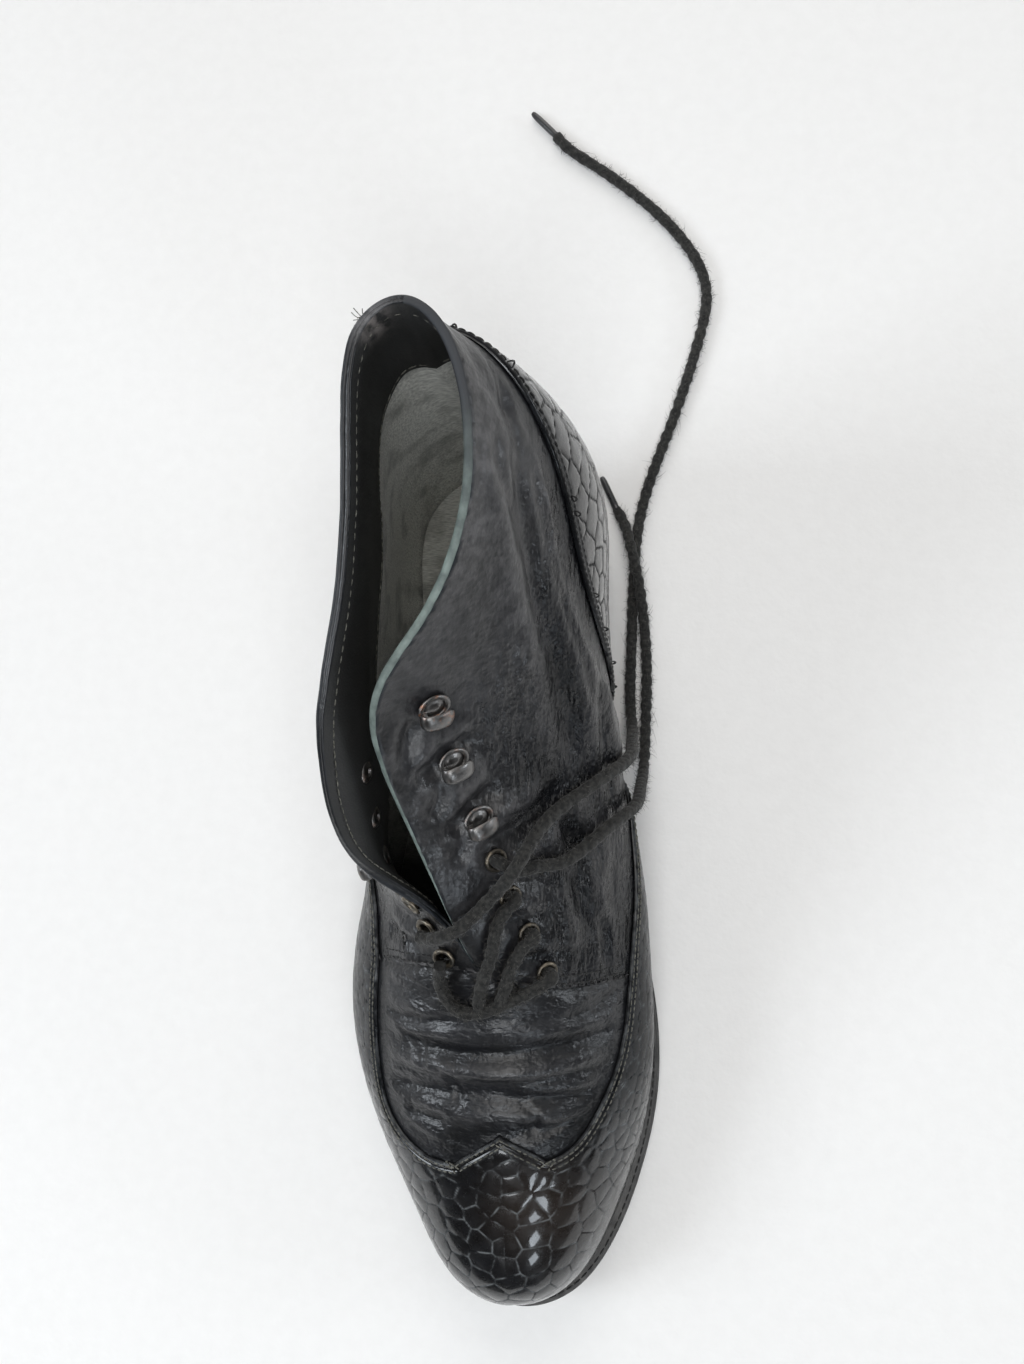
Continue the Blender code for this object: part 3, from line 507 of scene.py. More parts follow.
def seam_rise(side, rib):
    """Rise of the highest seam of wing or counter at a rib or close to it."""
    wing = wing_seam(side, 100)
    seam = np.zeros(np.shape(rib))
    for nearby in NEARBY_RIBS:
        wing_rise = np.interp(rib + nearby, wing[:, 0], wing[:, 1])
        seam = np.maximum(seam, np.maximum(wing_rise, counter_rise(np.clip(rib + nearby, 0, None))))
    return seam


def quarter_lift(side, rib, rise):
    """The quarters stand a leather's thickness over the vamp, above the seams of wing and counter."""
    at_throat = ramp((rib - THROAT + THROAT_RIBS) / THROAT_RIBS) * ramp((rise - THROAT_RISE) / THROAT_FADE)
    risen = ramp((rise - seam_rise(side, rib) - SEAM_CELL) / (STEP_SHARE * SEAM_CELL))
    return QUARTER_STEP * risen * (1 - at_throat)


def rise_below_top(side, rib, distance):
    """Rise of the point that lies a distance below the top edge along its rib."""
    rise = np.linspace(1.0, 0.3, 121)
    walk = along(last_points(side, np.full(rise.shape, float(rib)), rise))
    return float(np.interp(distance, walk, rise))


def quarter_point(side, rib, inset):
    """Point on the quarter at a distance from its facing edge, and the outward normal there."""
    rise = np.array(rise_below_top(side, rib, inset))
    rib = np.array(float(rib))
    points, normals = last_sheet(side, rib, rise)
    return points + normals * quarter_lift(side, rib, rise), normals


def lacing_frame(side, rib, inset):
    """Seat of an eyelet or hook: centre on the quarter, then axes to the edge, along it and out."""
    centre, out = quarter_point(side, rib, inset)
    edgeward = quarter_point(side, rib, inset - 1)[0] - centre
    edgeward = unit(edgeward - out * np.dot(edgeward, out))
    around = [(rib + d, inset + e) for d in (-0.2, 0.0, 0.2) for e in (-EYELET_RIM, 0.0, EYELET_RIM)]
    proud = max(np.dot(quarter_point(side, *where)[0] - centre, out) for where in around)
    return centre + out * proud, edgeward, np.cross(out, edgeward), out


def seats(rows):
    """Seats of one kind of lacing as {(side, row number): frame}."""
    found = {}
    for side in SIDES:
        for number, where in enumerate(rows[side], start=1):
            found[side, number] = lacing_frame(side, *where)
    return found


EYELETS = seats(EYELET_ROWS)
HOOKS = seats(HOOK_ROWS)
SEAT_CENTRES = np.array([seat[0] for seat in (*EYELETS.values(), *HOOKS.values())])


def linked(name, data):
    """New object in the scene."""
    made = bpy.data.objects.new(name, data)
    bpy.context.scene.collection.objects.link(made)
    return made


class Form:
    """Grids of millimetre points that become one mesh, each with a finish and shade values."""

    def __init__(self):
        self.points = []
        self.faces = []
        self.hems = []
        self.finishes = []
        self.shades = {name: [] for name in SHADES}
        self.count = 0

    def grid(self, points, finish=0, **shades):
        rows, columns = points.shape[:2]
        index = self.count + np.arange(rows * columns).reshape(rows, columns)
        quads = np.stack([index[:-1, :-1], index[1:, :-1], index[1:, 1:], index[:-1, 1:]], axis=-1)
        self.points.append(points.reshape(-1, 3))
        self.faces.append(quads.reshape(-1, 4))
        self.finishes.append(np.broadcast_to(finish, quads.shape[:2]).reshape(-1))
        for name in SHADES:
            value = np.broadcast_to(shades.get(name, 0.0), (rows, columns))
            self.shades[name].append(value.reshape(-1))
        self.count += rows * columns

    def hem(self, fine, coarse, stride, **shades):
        """Faces between a fine line and one that has every stride-th of its places."""
        index = self.count + np.arange(len(fine) + len(coarse))
        self.points += [fine, coarse]
        for k in range(len(coarse) - 1):
            high = index[k * stride:(k + 1) * stride + 1]
            low = index[len(fine) + k:len(fine) + k + 2]
            self.hems.append(high.tolist() + low[::-1].tolist())
        for name in SHADES:
            self.shades[name].append(np.full(len(index), shades.get(name, 0.0)))
        self.count += len(index)

    def tube(self, rings, **shades):
        """Closed tube through rings (rows, sides, 3); each end is drawn in to its middle."""
        closed = np.concatenate([rings, rings[:, :1]], axis=1)
        first, last = (np.tile(ring.mean(axis=0), (1, closed.shape[1], 1)) for ring in rings[[0, -1]])
        self.grid(np.concatenate([first, closed, last]), **shades)

    def mesh(self, name, finishes, sharp):
        mesh = bpy.data.meshes.new(name)
        faces = np.concatenate(self.faces).tolist() + self.hems
        mesh.from_pydata((np.concatenate(self.points) * MM).tolist(), [], faces)
        finish = np.concatenate(self.finishes + [np.zeros(len(self.hems))])
        mesh.polygons.foreach_set("material_index", finish.astype(np.int32))
        for shade, values in self.shades.items():
            layer = mesh.attributes.new(shade, "FLOAT", "POINT")
            layer.data.foreach_set("value", np.concatenate(values).astype(np.float32))
        bm = bmesh.new()
        bm.from_mesh(mesh)
        bmesh.ops.remove_doubles(bm, verts=bm.verts, dist=WELD)
        bmesh.ops.dissolve_degenerate(bm, edges=bm.edges, dist=SLIVER)
        bmesh.ops.recalc_face_normals(bm, faces=bm.faces)
        bm.to_mesh(mesh)
        bm.free()
        mesh.shade_smooth()
        mesh.set_sharp_from_angle(angle=math.radians(sharp))
        for finish in finishes:
            mesh.materials.append(finish)
        return mesh

    def piece(self, name, finishes, slot, *nodes, sharp=50):
        """Named object that rides on the boot, in place of its nodes."""
        made = linked(name, self.mesh(name, finishes, sharp))
        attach(made, "root")
        if nodes:
            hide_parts(*nodes)
        return made


class Nodes:
    """Node tree with short names for what goes into it."""

    def __init__(self, tree):
        self.tree = tree

    def feed(self, node, socket, value):
        if isinstance(value, bpy.types.NodeSocket):
            self.tree.links.new(value, node.inputs[socket])
        else:
            node.inputs[socket].default_value = value

    def node(self, kind, settings=None, **inputs):
        made = self.tree.nodes.new(kind)
        for name, value in (settings or {}).items():
            setattr(made, name, value)
        for socket, value in inputs.items():
            self.feed(made, socket.replace("_", " "), value)
        return made

    def calc(self, operation, first, second):
        made = self.node("ShaderNodeMath", {"operation": operation})
        self.feed(made, 0, first)
        self.feed(made, 1, second)
        return made.outputs[0]

    def times(self, first, second):
        return self.calc("MULTIPLY", first, second)

    def span(self, value, low, high, to_low=0.0, to_high=1.0):
        """Map a value from one range to another."""
        made = self.node("ShaderNodeMapRange", Value=value, From_Min=low, From_Max=high, To_Min=to_low,
                         To_Max=to_high)
        return made.outputs["Result"]


class Finish(Nodes):
    """Node material with a Principled shader and short names for its textures."""

    def __init__(self, name, colour, roughness, **sockets):
        self.material = bpy.data.materials.new(name)
        self.material.use_nodes = True
        super().__init__(self.material.node_tree)
        self.shader = self.tree.nodes["Principled BSDF"]
        self.set("Base Color", (*colour, 1.0))
        self.set("Roughness", roughness)
        for socket, value in sockets.items():
            self.set(socket.replace("_", " "), value)
        self.place = self.node("ShaderNodeTexCoord").outputs["Object"]

    def set(self, socket, value):
        self.feed(self.shader, socket, value)

    def shade(self, name):
        return self.node("ShaderNodeAttribute", {"attribute_name": name}).outputs["Fac"]

    def stretched(self, scale, turn=(0.0, 0.0, 0.0)):
        made = self.node("ShaderNodeMapping", Vector=self.place, Scale=scale, Rotation=turn)
        return made.outputs["Vector"]

    def noise(self, scale, detail, place=None):
        made = self.node("ShaderNodeTexNoise", Vector=place or self.place, Scale=scale, Detail=detail)
        return made.outputs["Fac"]

    def cells(self, scale, feature="F1", place=None):
        settings = {"feature": feature}
        made = self.node("ShaderNodeTexVoronoi", settings, Vector=place or self.place, Scale=scale)
        return made.outputs["Distance"]

    def mix(self, share, first, second):
        made = self.node("ShaderNodeMix", {"data_type": "RGBA"})
        self.feed(made, 0, share)
        self.feed(made, 6, (*first, 1.0) if isinstance(first, tuple) else first)
        self.feed(made, 7, (*second, 1.0) if isinstance(second, tuple) else second)
        return made.outputs[2]

    def bump(self, height, distance, strength):
        """One more layer of bump; the distance is in metres."""
        made = self.node("ShaderNodeBump", Height=height, Distance=distance, Strength=strength)
        under = self.shader.inputs["Normal"].links
        if under:
            self.feed(made, "Normal", under[0].from_socket)
        self.set("Normal", made.outputs["Normal"])

    def uneven(self, scale, detail, low, high):
        """Roughness that wanders between two values."""
        self.set("Roughness", self.span(self.noise(scale, detail), 0.3, 0.7, low, high))


def leather_finish():
    """Worn satin leather: pebbled quarters, cross wrinkles on the vamp, grey rubbed places, and a painted
    blue-grey highlight on the outer collar rim.
    """
    made = Finish("leather", (0.012, 0.0125, 0.015), 0.36, Coat_Weight=0.06, Coat_Roughness=0.3)
    vamp = made.shade("groove")
    grain = made.shade("grain")
    cloud = made.span(made.noise(60.0, 5.0), 0.36, 0.68)
    blotches = made.span(made.noise(330.0, 4.0), 0.4, 0.62)
    base = made.mix(cloud, (0.0036, 0.0038, 0.0044), (0.0085, 0.009, 0.011))
    # Painted highlight: the collar rim's shade value mixes in a lighter blue-grey that stands in for the
    # light on its folded edge
    rim = made.mix(made.shade("tint"), base, (0.018, 0.021, 0.026))
    rubbed = made.times(made.shade("wear"), made.span(blotches, 0.0, 1.0, 0.35, 1.0))
    made.set("Base Color", made.mix(rubbed, rim, (0.15, 0.146, 0.15)))
    satin = made.span(grain, 0.1, 0.7, 0.07, 0.0)
    patchy = made.span(made.noise(210.0, 4.0), 0.3, 0.7, 0.22, 0.35)
    made.set("Roughness", made.calc("ADD", satin, patchy))
    gloss = made.span(grain, 0.4, 1.0, 0.52, 0.32)
    off_rim = made.span(made.shade("tint"), 0.0, 1.0, 1.0, 0.3)
    made.set("Specular IOR Level", made.times(gloss, off_rim))
    long_folds = made.noise(1.0, 4.0, made.stretched((230.0, 48.0, 85.0)))
    made.bump(made.times(long_folds, grain), 0.0038, 0.8)
    across = made.noise(1.0, 3.0, made.stretched((75.0, 190.0, 140.0)))
    made.bump(made.times(across, vamp), 0.0018, 0.8)
    wrinkles = made.cells(1.0, "DISTANCE_TO_EDGE", made.stretched((190.0, 330.0, 260.0)))
    made.bump(made.times(made.span(wrinkles, 0.0, 0.16), vamp), 0.00008, 0.8)
    streaks = made.noise(1.0, 4.0, made.stretched((620.0, 230.0, 330.0)))
    made.bump(made.times(streaks, grain), 0.0006, 0.8)
    pebble = made.span(made.cells(560.0), 0.05, 0.62)
    made.bump(made.times(pebble, made.span(grain, 0.0, 1.0, 0.4, 1.0)), 0.0002, 0.9)
    made.bump(made.noise(1300.0, 3.0), 0.00012, 0.7)
    return made.material


def edge_finish():
    """Grey-green paint of a cut leather edge."""
    made = Finish("edge_paint", (0.19, 0.24, 0.22), 0.6)
    worn = made.span(made.noise(260.0, 4.0), 0.35, 0.68)
    paint = made.mix(worn, (0.085, 0.108, 0.1), (0.19, 0.235, 0.215))
    made.set("Base Color", made.mix(made.shade("tint"), (0.024, 0.026, 0.03), paint))
    made.bump(made.noise(900.0, 3.0), 0.00012, 0.6)
    return made.material


def facing_finish():
    """Smooth black lining leather."""
    made = Finish("lining_leather", (0.009, 0.009, 0.0095), 0.55)
    rubbed = made.times(made.shade("wear"), made.span(made.noise(300.0, 4.0), 0.4, 0.6))
    dark = made.mix(made.noise(90.0, 3.0), (0.014, 0.014, 0.0138), (0.03, 0.03, 0.0295))
    made.set("Base Color", made.mix(rubbed, dark, (0.2, 0.18, 0.17)))
    made.bump(made.cells(1500.0), 0.00008, 0.5)
    return made.material


def twill_finish():
    """Grey-brown twill: slanting threads of uneven length, soiled, with painted shade that makes it black
    towards the toe.
    """
    made = Finish("twill", (0.2, 0.2, 0.185), 0.95, Sheen_Weight=0.2, Sheen_Roughness=0.5)
    slant = made.stretched((420.0, 2100.0, 900.0), (0.0, 0.0, math.radians(35)))
    threads = made.noise(1.0, 2.0, slant)
    soil = made.span(made.noise(75.0, 5.0), 0.5, 0.7, 0.0, 0.75)
    cloth = made.mix(made.span(threads, 0.3, 0.7), (0.42, 0.42, 0.385), (0.78, 0.78, 0.72))
    soiled = made.mix(soil, cloth, (0.16, 0.157, 0.14))
    # Painted shade: the cloth turns black towards the toe, where the inside of the boot lies in shadow
    along_boot = made.node("ShaderNodeSeparateXYZ", Vector=made.place).outputs["Y"]
    made.set("Base Color", made.mix(made.span(along_boot, 0.0, 0.05), (0.012, 0.012, 0.011), soiled))
    made.bump(threads, 0.0003, 0.8)
    return made.material


def croc_finish(name, groove, centre):
    """Glossy embossed leather: black scales, lines in the grooves, a brown tinge in places."""
    made = Finish(name, (0.006, 0.006, 0.007), 0.25, Coat_Roughness=0.07)
    mottle = made.span(made.noise(110.0, 5.0), 0.4, 0.7)
    scale = made.mix(mottle, (0.0035, 0.0038, 0.0045), (0.0105, 0.0115, 0.0135))
    scale = made.mix(made.shade("tint"), scale, centre)
    in_grooves = made.shade("groove")
    dust = made.times(in_grooves, made.span(made.noise(260.0, 4.0), 0.42, 0.66, 0.03, 0.9))
    specks = made.times(made.span(made.noise(900.0, 2.0), 0.7, 0.78), 0.25)
    made.set("Base Color", made.mix(made.calc("MAXIMUM", dust, specks), scale, groove))
    made.set("Roughness", made.span(made.noise(240.0, 4.0), 0.3, 0.75, 0.2, 0.42))
    clean = made.span(in_grooves, 0.1, 0.6, 0.62, 0.0)
    shine = made.span(made.shade("wear"), 0.0, 1.0, 1.0, 0.18)
    made.set("Coat Weight", made.times(clean, shine))
    bare = made.span(in_grooves, 0.1, 0.6, 0.22, 0.03)
    made.set("Specular IOR Level", made.times(bare, made.span(shine, 0.0, 1.0, 0.4, 1.0)))
    made.bump(made.noise(650.0, 4.0), 0.00012, 0.5)
    return made.material


def rubber_finish(name, colour, roughness):
    """Sole edge dressing with scuffs along it."""
    made = Finish(name, colour, roughness)
    scuffs = made.span(made.noise(1.0, 4.0, made.stretched((260.0, 60.0, 500.0))), 0.55, 0.75)
    made.set("Base Color", made.mix(made.times(scuffs, 0.5), colour, (0.05, 0.048, 0.045)))
    made.uneven(190.0, 3.0, roughness - 0.1, roughness + 0.12)
    made.bump(made.noise(1100.0, 3.0), 0.00008, 0.5)
    return made.material


def metal_finish(name, colour, worn, roughness):
    """Plated metal, darker in the hollows and rubbed through on the edges."""
    made = Finish(name, colour, roughness, Metallic=1.0)
    patches = made.span(made.noise(520.0, 4.0), 0.5, 0.68)
    share = made.times(patches, made.shade("wear"))
    made.set("Base Color", made.mix(share, colour, worn))
    made.uneven(900.0, 3.0, roughness - 0.08, roughness + 0.14)
    made.bump(made.noise(1600.0, 2.0), 0.00003, 0.5)
    return made.material


def yarn_finish(name, dark, light, sheen):
    """Matt yarn, mottled along its length."""
    made = Finish(name, dark, 0.95, Sheen_Weight=sheen, Sheen_Roughness=0.45)
    made.set("Base Color", made.mix(made.span(made.noise(850.0, 4.0), 0.38, 0.68), dark, light))
    made.bump(made.noise(2400.0, 3.0), 0.00016, 0.8)
    return made.material


def plastic_finish():
    """Rubbed black sleeve of an aglet."""
    made = Finish("aglet_plastic", (0.012, 0.012, 0.013), 0.3, Coat_Weight=0.3)
    made.uneven(600.0, 3.0, 0.22, 0.45)
    made.bump(made.noise(1500.0, 2.0), 0.00004, 0.5)
    return made.material


def floor_finish():
    """Off-white paper."""
    made = Finish("floor", (0.84, 0.835, 0.83), 0.9)
    made.set("Base Color", made.mix(made.noise(180.0, 5.0), (0.815, 0.803, 0.787), (0.865, 0.855, 0.84)))
    made.bump(made.noise(520.0, 4.0), 0.0003, 0.4)
    return made.material


LEATHER = leather_finish()
EDGE_PAINT = edge_finish()
FACING = facing_finish()
TWILL = twill_finish()
CROC_CAP = croc_finish("croc_cap", (0.17, 0.18, 0.185), (0.022, 0.017, 0.014))
CROC_COUNTER = croc_finish("croc_counter", (0.012, 0.012, 0.012), (0.02, 0.021, 0.023))
RUBBER = rubber_finish("rubber", (0.011, 0.011, 0.012), 0.5)
WELT_EDGING = rubber_finish("welt_edging", (0.014, 0.0135, 0.013), 0.42)
HOOK_METAL = metal_finish("hook_metal", (0.2, 0.195, 0.19), (0.42, 0.22, 0.14), 0.36)
EYELET_METAL = metal_finish("eyelet_metal", (0.12, 0.108, 0.09), (0.27, 0.23, 0.175), 0.4)
LACE_YARN = yarn_finish("lace_yarn", (0.007, 0.007, 0.0066), (0.034, 0.033, 0.03), 0.12)
FIBRE_YARN = yarn_finish("lace_fibre", (0.016, 0.016, 0.015), (0.1, 0.095, 0.085), 0.1)
DARK_THREAD = yarn_finish("dark_thread", (0.012, 0.012, 0.0125), (0.04, 0.04, 0.038), 0.1)
PALE_THREAD = yarn_finish("pale_thread", (0.055, 0.054, 0.045), (0.17, 0.165, 0.14), 0.1)
AGLET_PLASTIC = plastic_finish()


def camera():
    """The photograph's camera, turned about its own place to face the one boot and its lace."""
    data = bpy.data.cameras.new("camera")
    data.sensor_width = SENSOR
    data.lens = SENSOR * FRAME_FOCAL / PHOTO_SIZE[1]
    ahead = Vector(((AIM_PIXEL[0] - PHOTO_SIZE[0] / 2) / PHOTO_FOCAL,
                    (PHOTO_SIZE[1] / 2 - AIM_PIXEL[1]) / PHOTO_FOCAL, -1.0)).normalized()
    right = ahead.cross(Vector((0.0, 1.0, 0.0))).normalized()
    over = right.cross(ahead)
    turn = Matrix((right, over, -ahead)).transposed()
    made = linked("camera", data)
    made.matrix_world = Matrix.Translation(Vector(CAMERA_AT) * MM) @ turn.to_4x4()
    bpy.context.scene.camera = made


def carried_frames(centres):
    """Axes across a line of centres that turn as little as they can."""
    ahead = unit(np.gradient(centres, axis=0))
    beside = np.zeros_like(centres)
    axis = np.cross(ahead[0], (0.0, 0.0, 1.0))
    if np.linalg.norm(axis) < 0.1:
        axis = np.cross(ahead[0], (0.0, 1.0, 0.0))
    for i, direction in enumerate(ahead):
        axis = axis - direction * np.dot(axis, direction)
        axis = axis / np.linalg.norm(axis)
        beside[i] = axis
    return ahead, beside, np.cross(ahead, beside)


def rings_along(centres, radii, sides):
    """Rings of a round rod; radii has a value for each centre, or for each centre and side."""
    _, beside, over = carried_frames(centres)
    angles = np.arange(sides) * 2 * math.pi / sides
    radii = np.broadcast_to(np.asarray(radii, float).reshape(len(centres), -1), (len(centres), sides))
    round_about = np.cos(angles)[:, None] * beside[:, None] + np.sin(angles)[:, None] * over[:, None]
    return centres[:, None] + radii[..., None] * round_about


# Braid of the lace: spacing and sides of its rings, pitch, body, relief, worn lumps, narrowed start
LACE_RING = 0.6
LACE_SIDES = 14
BRAID_PITCH = 4.6
BRAID_BODY = 0.96
BRAID_RELIEF = 0.11
BRAID_MEAN = 0.4
LUMP_SHARE = 0.1
LUMP_FINENESS = 0.35
NARROW_SHARE = 0.3
NARROW_LENGTH = 7.0

# Loose fibres: number on each millimetre of a bar and of a free end, depth of the root in the cord,
# least, mean further and greatest length, radius and least height over the floor
BAR_FIBRES = 14.0
END_FIBRES = 8.0
FIBRE_ROOT = 0.25
FIBRE_LEAST = 0.7
FIBRE_FURTHER = 0.75
FIBRE_MOST = 3.6
FIBRE_RADIUS = 0.085
FIBRE_OVER_FLOOR = 0.2

# Steps (onward, outward) that lead a lace out of its eyelet, straight or at a slant
STRAIGHT_LEAD = ((0.0, -4.0), (0.0, -0.5))
SLANTED_LEAD = ((-4.0, -3.0), (0.0, 1.2), (3.0, 2.6))

# Aglet: places along it and the radius there as a share of its diameter
AGLET_SHAPE = ((-1.5, 0.56), (-1.2, 0.6), (0.4, 0.56), (1.2, 0.48), (2.4, 0.5), (6.0, 0.5), (10.5, 0.49),
               (12.2, 0.45), (13.3, 0.4), (AGLET_LENGTH, 0.28))


def braided(form, centres, narrow_start):
    """Round braid: two sets of strands wind about it, with lumps where the yarn has worn."""
    reach = along(centres)
    angles = np.arange(LACE_SIDES) * 2 * math.pi / LACE_SIDES
    turns = reach[:, None] * 2 * math.pi / BRAID_PITCH
    strands = np.maximum(np.sin(turns + 2 * angles), np.sin(turns - 2 * angles))
    worn = LUMP_SHARE * lumps(centres, LUMP_FINENESS)[:, None]
    radii = LACE / 2 * (BRAID_BODY + BRAID_RELIEF * (strands - BRAID_MEAN) + worn)
    if narrow_start:
        radii = radii * (1 - NARROW_SHARE * ramp(1 - reach / NARROW_LENGTH))[:, None]
    form.tube(rings_along(centres, radii, LACE_SIDES))


def fuzz(form, centres, per_mm, draws):
    """Loose fibres that stand off a cord, some of them long."""
    ahead, beside, over = carried_frames(centres)
    share = np.linspace(0, 1, 4)[:, None]
    for _ in range(int(along(centres)[-1] * per_mm)):
        i = draws.integers(1, len(centres) - 1)
        angle = draws.uniform(0, 2 * math.pi)
        out = math.cos(angle) * beside[i] + math.sin(angle) * over[i]
        lean = draws.normal(0, 0.9) * ahead[i] + draws.normal(0, 0.5) * np.cross(out, ahead[i])
        reach = min(FIBRE_LEAST + draws.exponential(FIBRE_FURTHER), FIBRE_MOST)
        root = centres[i] + out * (LACE / 2 - FIBRE_ROOT)
        line = root + (out * share * 0.75 + lean * share**1.6 * 0.7) * reach
        line[:, 2] = np.maximum(line[:, 2], FIBRE_OVER_FLOOR)
        form.tube(rings_along(line, FIBRE_RADIUS * (1 - 0.75 * share[:, 0]), 3))


def lead(seat, onward, steps):
    """Points that lead a lace from the inside of the quarter out of an eyelet towards a point."""
    centre, _, _, out = seat
    ahead = np.array(onward) - centre
    ahead = unit(ahead - out * np.dot(ahead, out))
    return [centre + forward * ahead + outward * out for forward, outward in steps]


def lace():
    """Bars over the vamp, drawn through their eyelets, and the two free ends with fibres and aglets."""
    draws = np.random.default_rng(SEED)
    form = Form()
    fibres = Form()
    for row, route in enumerate((LACE_BAR, *LACE_STRANDS), start=1):
        start = lead(EYELETS["medial", row], route[0], STRAIGHT_LEAD)
        centres = even_line([*start, *route], LACE_RING)
        braided(form, centres, True)
        fuzz(fibres, centres, BAR_FIBRES, draws)
    form.piece("lace_over_vamp", [LACE_YARN], "lace", "lace_bars", sharp=80)
    fibres.piece("lace_over_vamp_fibres", [FIBRE_YARN], "lace", sharp=80)
    slant = lead(EYELETS["medial", 4], LACE_ENDS["short"][1], SLANTED_LEAD)
    routes = {"long": LACE_ENDS["long"], "short": (*slant, *LACE_ENDS["short"][2:])}
    for which, route in routes.items():
        centres = even_line(route, LACE_RING)
        form = Form()
        braided(form, centres, which == "short")
        cord = form.piece(f"lace_{which}", [LACE_YARN], "lace", f"lace_end_{which}", sharp=80)
        fibres = Form()
        fuzz(fibres, centres, END_FIBRES, draws)
        hairs = fibres.piece(f"lace_{which}_fibres", [FIBRE_YARN], "lace", sharp=80)
        tip = aglet(which)


def aglet(which):
    """Rolled sleeve on the tip of a lace, pinched where it grips."""
    points = even_line(LACE_ENDS[which], LACE_STEP)
    ahead = unit((points[-1] - points[-2]) * (1.0, 1.0, AGLET_DIP))
    centres = np.array([points[-1] + ahead * reach for reach, _ in AGLET_SHAPE])
    form = Form()
    form.tube(rings_along(centres, [share * AGLET for _, share in AGLET_SHAPE], 20))
    return form.piece(f"aglet_sleeve_{which}", [AGLET_PLASTIC], "plastic", f"aglet_{which}")


# Creases and folds: raised lip beside a trough (its height, distance and width as shares of the trough's),
# share of the length that fades, spacing of a crease's points and number of a fold's
LIP_HEIGHT = 0.42
LIP_AWAY = 2.3
LIP_WIDTH = 1.2
TROUGH_FADE = 0.2
CREASE_STEP = 1.5
FOLD_PLACES = 60
# Depth of the pulled-in seam at the throat, and the leather's unevenness as (fineness, height)
SEAM_DEEP = 0.7
UNEVENNESS = ((0.045, 0.55), (0.16, 0.16))
# Flat round about eyelets and hooks: radius and width of the fade
SEAT_FLAT = 3.0
SEAT_FADE = 2.2
# Lining leather: ribs and widths over which it changes to the heel grip and to the deep front
GRIP_RIB = 0.95
GRIP_FADE = 0.5
FRONT_RIB = 3.4
FRONT_FADE = 1.4
# Rubbed place on the collar, wear of flap and collar edge, pebbling of flap and sides
SCUFF_AT = np.array((-13.2, 137.3, 163.0))
SCUFF_RADIUS = 4.5
SCUFF_INSIDE = 1.4
FLAP_WEAR = {"lateral": 0.05, "medial": 0.16}
RIM_WEAR = {"lateral": 0.0, "medial": 0.3}
FLAP_GRAIN = 0.12
SIDE_GRAIN = {"lateral": 0.6, "medial": 1.0}
# Places of the upper's finishes in its list
ON_LEATHER, ON_EDGE, ON_FACING, ON_TWILL = range(4)
# Eyelet holes: how far the cutter reaches to both sides of the leather
CUT_REACH = (-9.0, -3.0, 3.0, 9.0)


def fine_ribs(steps):
    """Rib numbers, with so many steps from each whole one to the next."""
    parts = [k + np.arange(count) / count for k, count in enumerate(steps)]
    return np.concatenate(parts + [[float(len(steps))]])


def near_line(points, line):
    """Distance of points from a line, and how far along the line (0 to 1) the nearest place is."""
    flat = points.reshape(-1, points.shape[-1])
    gaps = np.linalg.norm(flat[:, None] - line[None], axis=-1)
    nearest = gaps.argmin(axis=1)
    shape = points.shape[:-1]
    return gaps.min(axis=1).reshape(shape), (nearest / (len(line) - 1)).reshape(shape)


def trough(points, line, depth, width):
    """Height of a soft trough along a line, with a raised lip on each side; it fades at both ends."""
    gap, share = near_line(points, line)
    fade = ramp(share / TROUGH_FADE) * ramp((1 - share) / TROUGH_FADE)
    lip = LIP_HEIGHT * bell((gap - LIP_AWAY * width) / (LIP_WIDTH * width))
    return depth * fade * (lip - bell(gap / width))


def upper_relief(side, rib, rise, points):
    """Creases, folds, puckers and the leather's unevenness, clear of seams, eyelets and hooks."""
    height = np.zeros(rib.shape)
    flat = np.stack([points[..., 0], HEEL_Y - points[..., 1]], axis=-1)
    on_vamp = ramp((rib - THROAT + 0.02) / 0.05)
    for depth, width, line in VAMP_CREASES:
        height += on_vamp * trough(flat, even_line(line, CREASE_STEP), depth, width)
    height -= SEAM_DEEP * bell((rib - THROAT - 0.04) / 0.035) * ramp((0.96 - rise) / 0.03)
    for fold_side, depth, width, places in QUARTER_FOLDS:
        if fold_side == side:
            at = seam_line(places, FOLD_PLACES)
            line = last_points(side, at[:, 0], at[:, 1])
            height += (1 - on_vamp) * trough(points, line, FOLD_DEPTH * depth, FOLD_WIDTH * width)
    height += sum(tall * lumps(points, fineness) for fineness, tall in UNEVENNESS)
    bend = np.clip((rise - SCALLOP_RISE) / (1 - SCALLOP_RISE), 0, 1)
    front = np.where(rise < SCALLOP_RISE, SCALLOP_RIB, peak_seam(np.arccos(1 - bend) * 2 / math.pi)[0])
    clear = ramp((rise - seam_rise(side, rib) - 0.015) / 0.06) * ramp((front - rib) / 0.08)
    for centre in SEAT_CENTRES:
        clear = clear * ramp((np.linalg.norm(points - centre, axis=-1) - SEAT_FLAT) / SEAT_FADE)
    return height * clear


def band_rises(side, ribs):
    """Rise at which the lining leather ends, deeper behind the lacing."""
    rises = []
    for rib in np.minimum(ribs, THROAT):
        depth = BAND_DEPTH + (HEEL_GRIP_DEPTH - BAND_DEPTH) * float(ramp((GRIP_RIB - rib) / GRIP_FADE))
        depth += FRONT_DEPTH * float(ramp((rib - FRONT_RIB) / FRONT_FADE))
        rises.append(rise_below_top(side, rib, depth))
    return np.array(rises)


def collar_scuff(points):
    """Rubbed place on the collar behind the outer ankle."""
    return bell(np.linalg.norm(points - SCUFF_AT, axis=-1) / SCUFF_RADIUS)


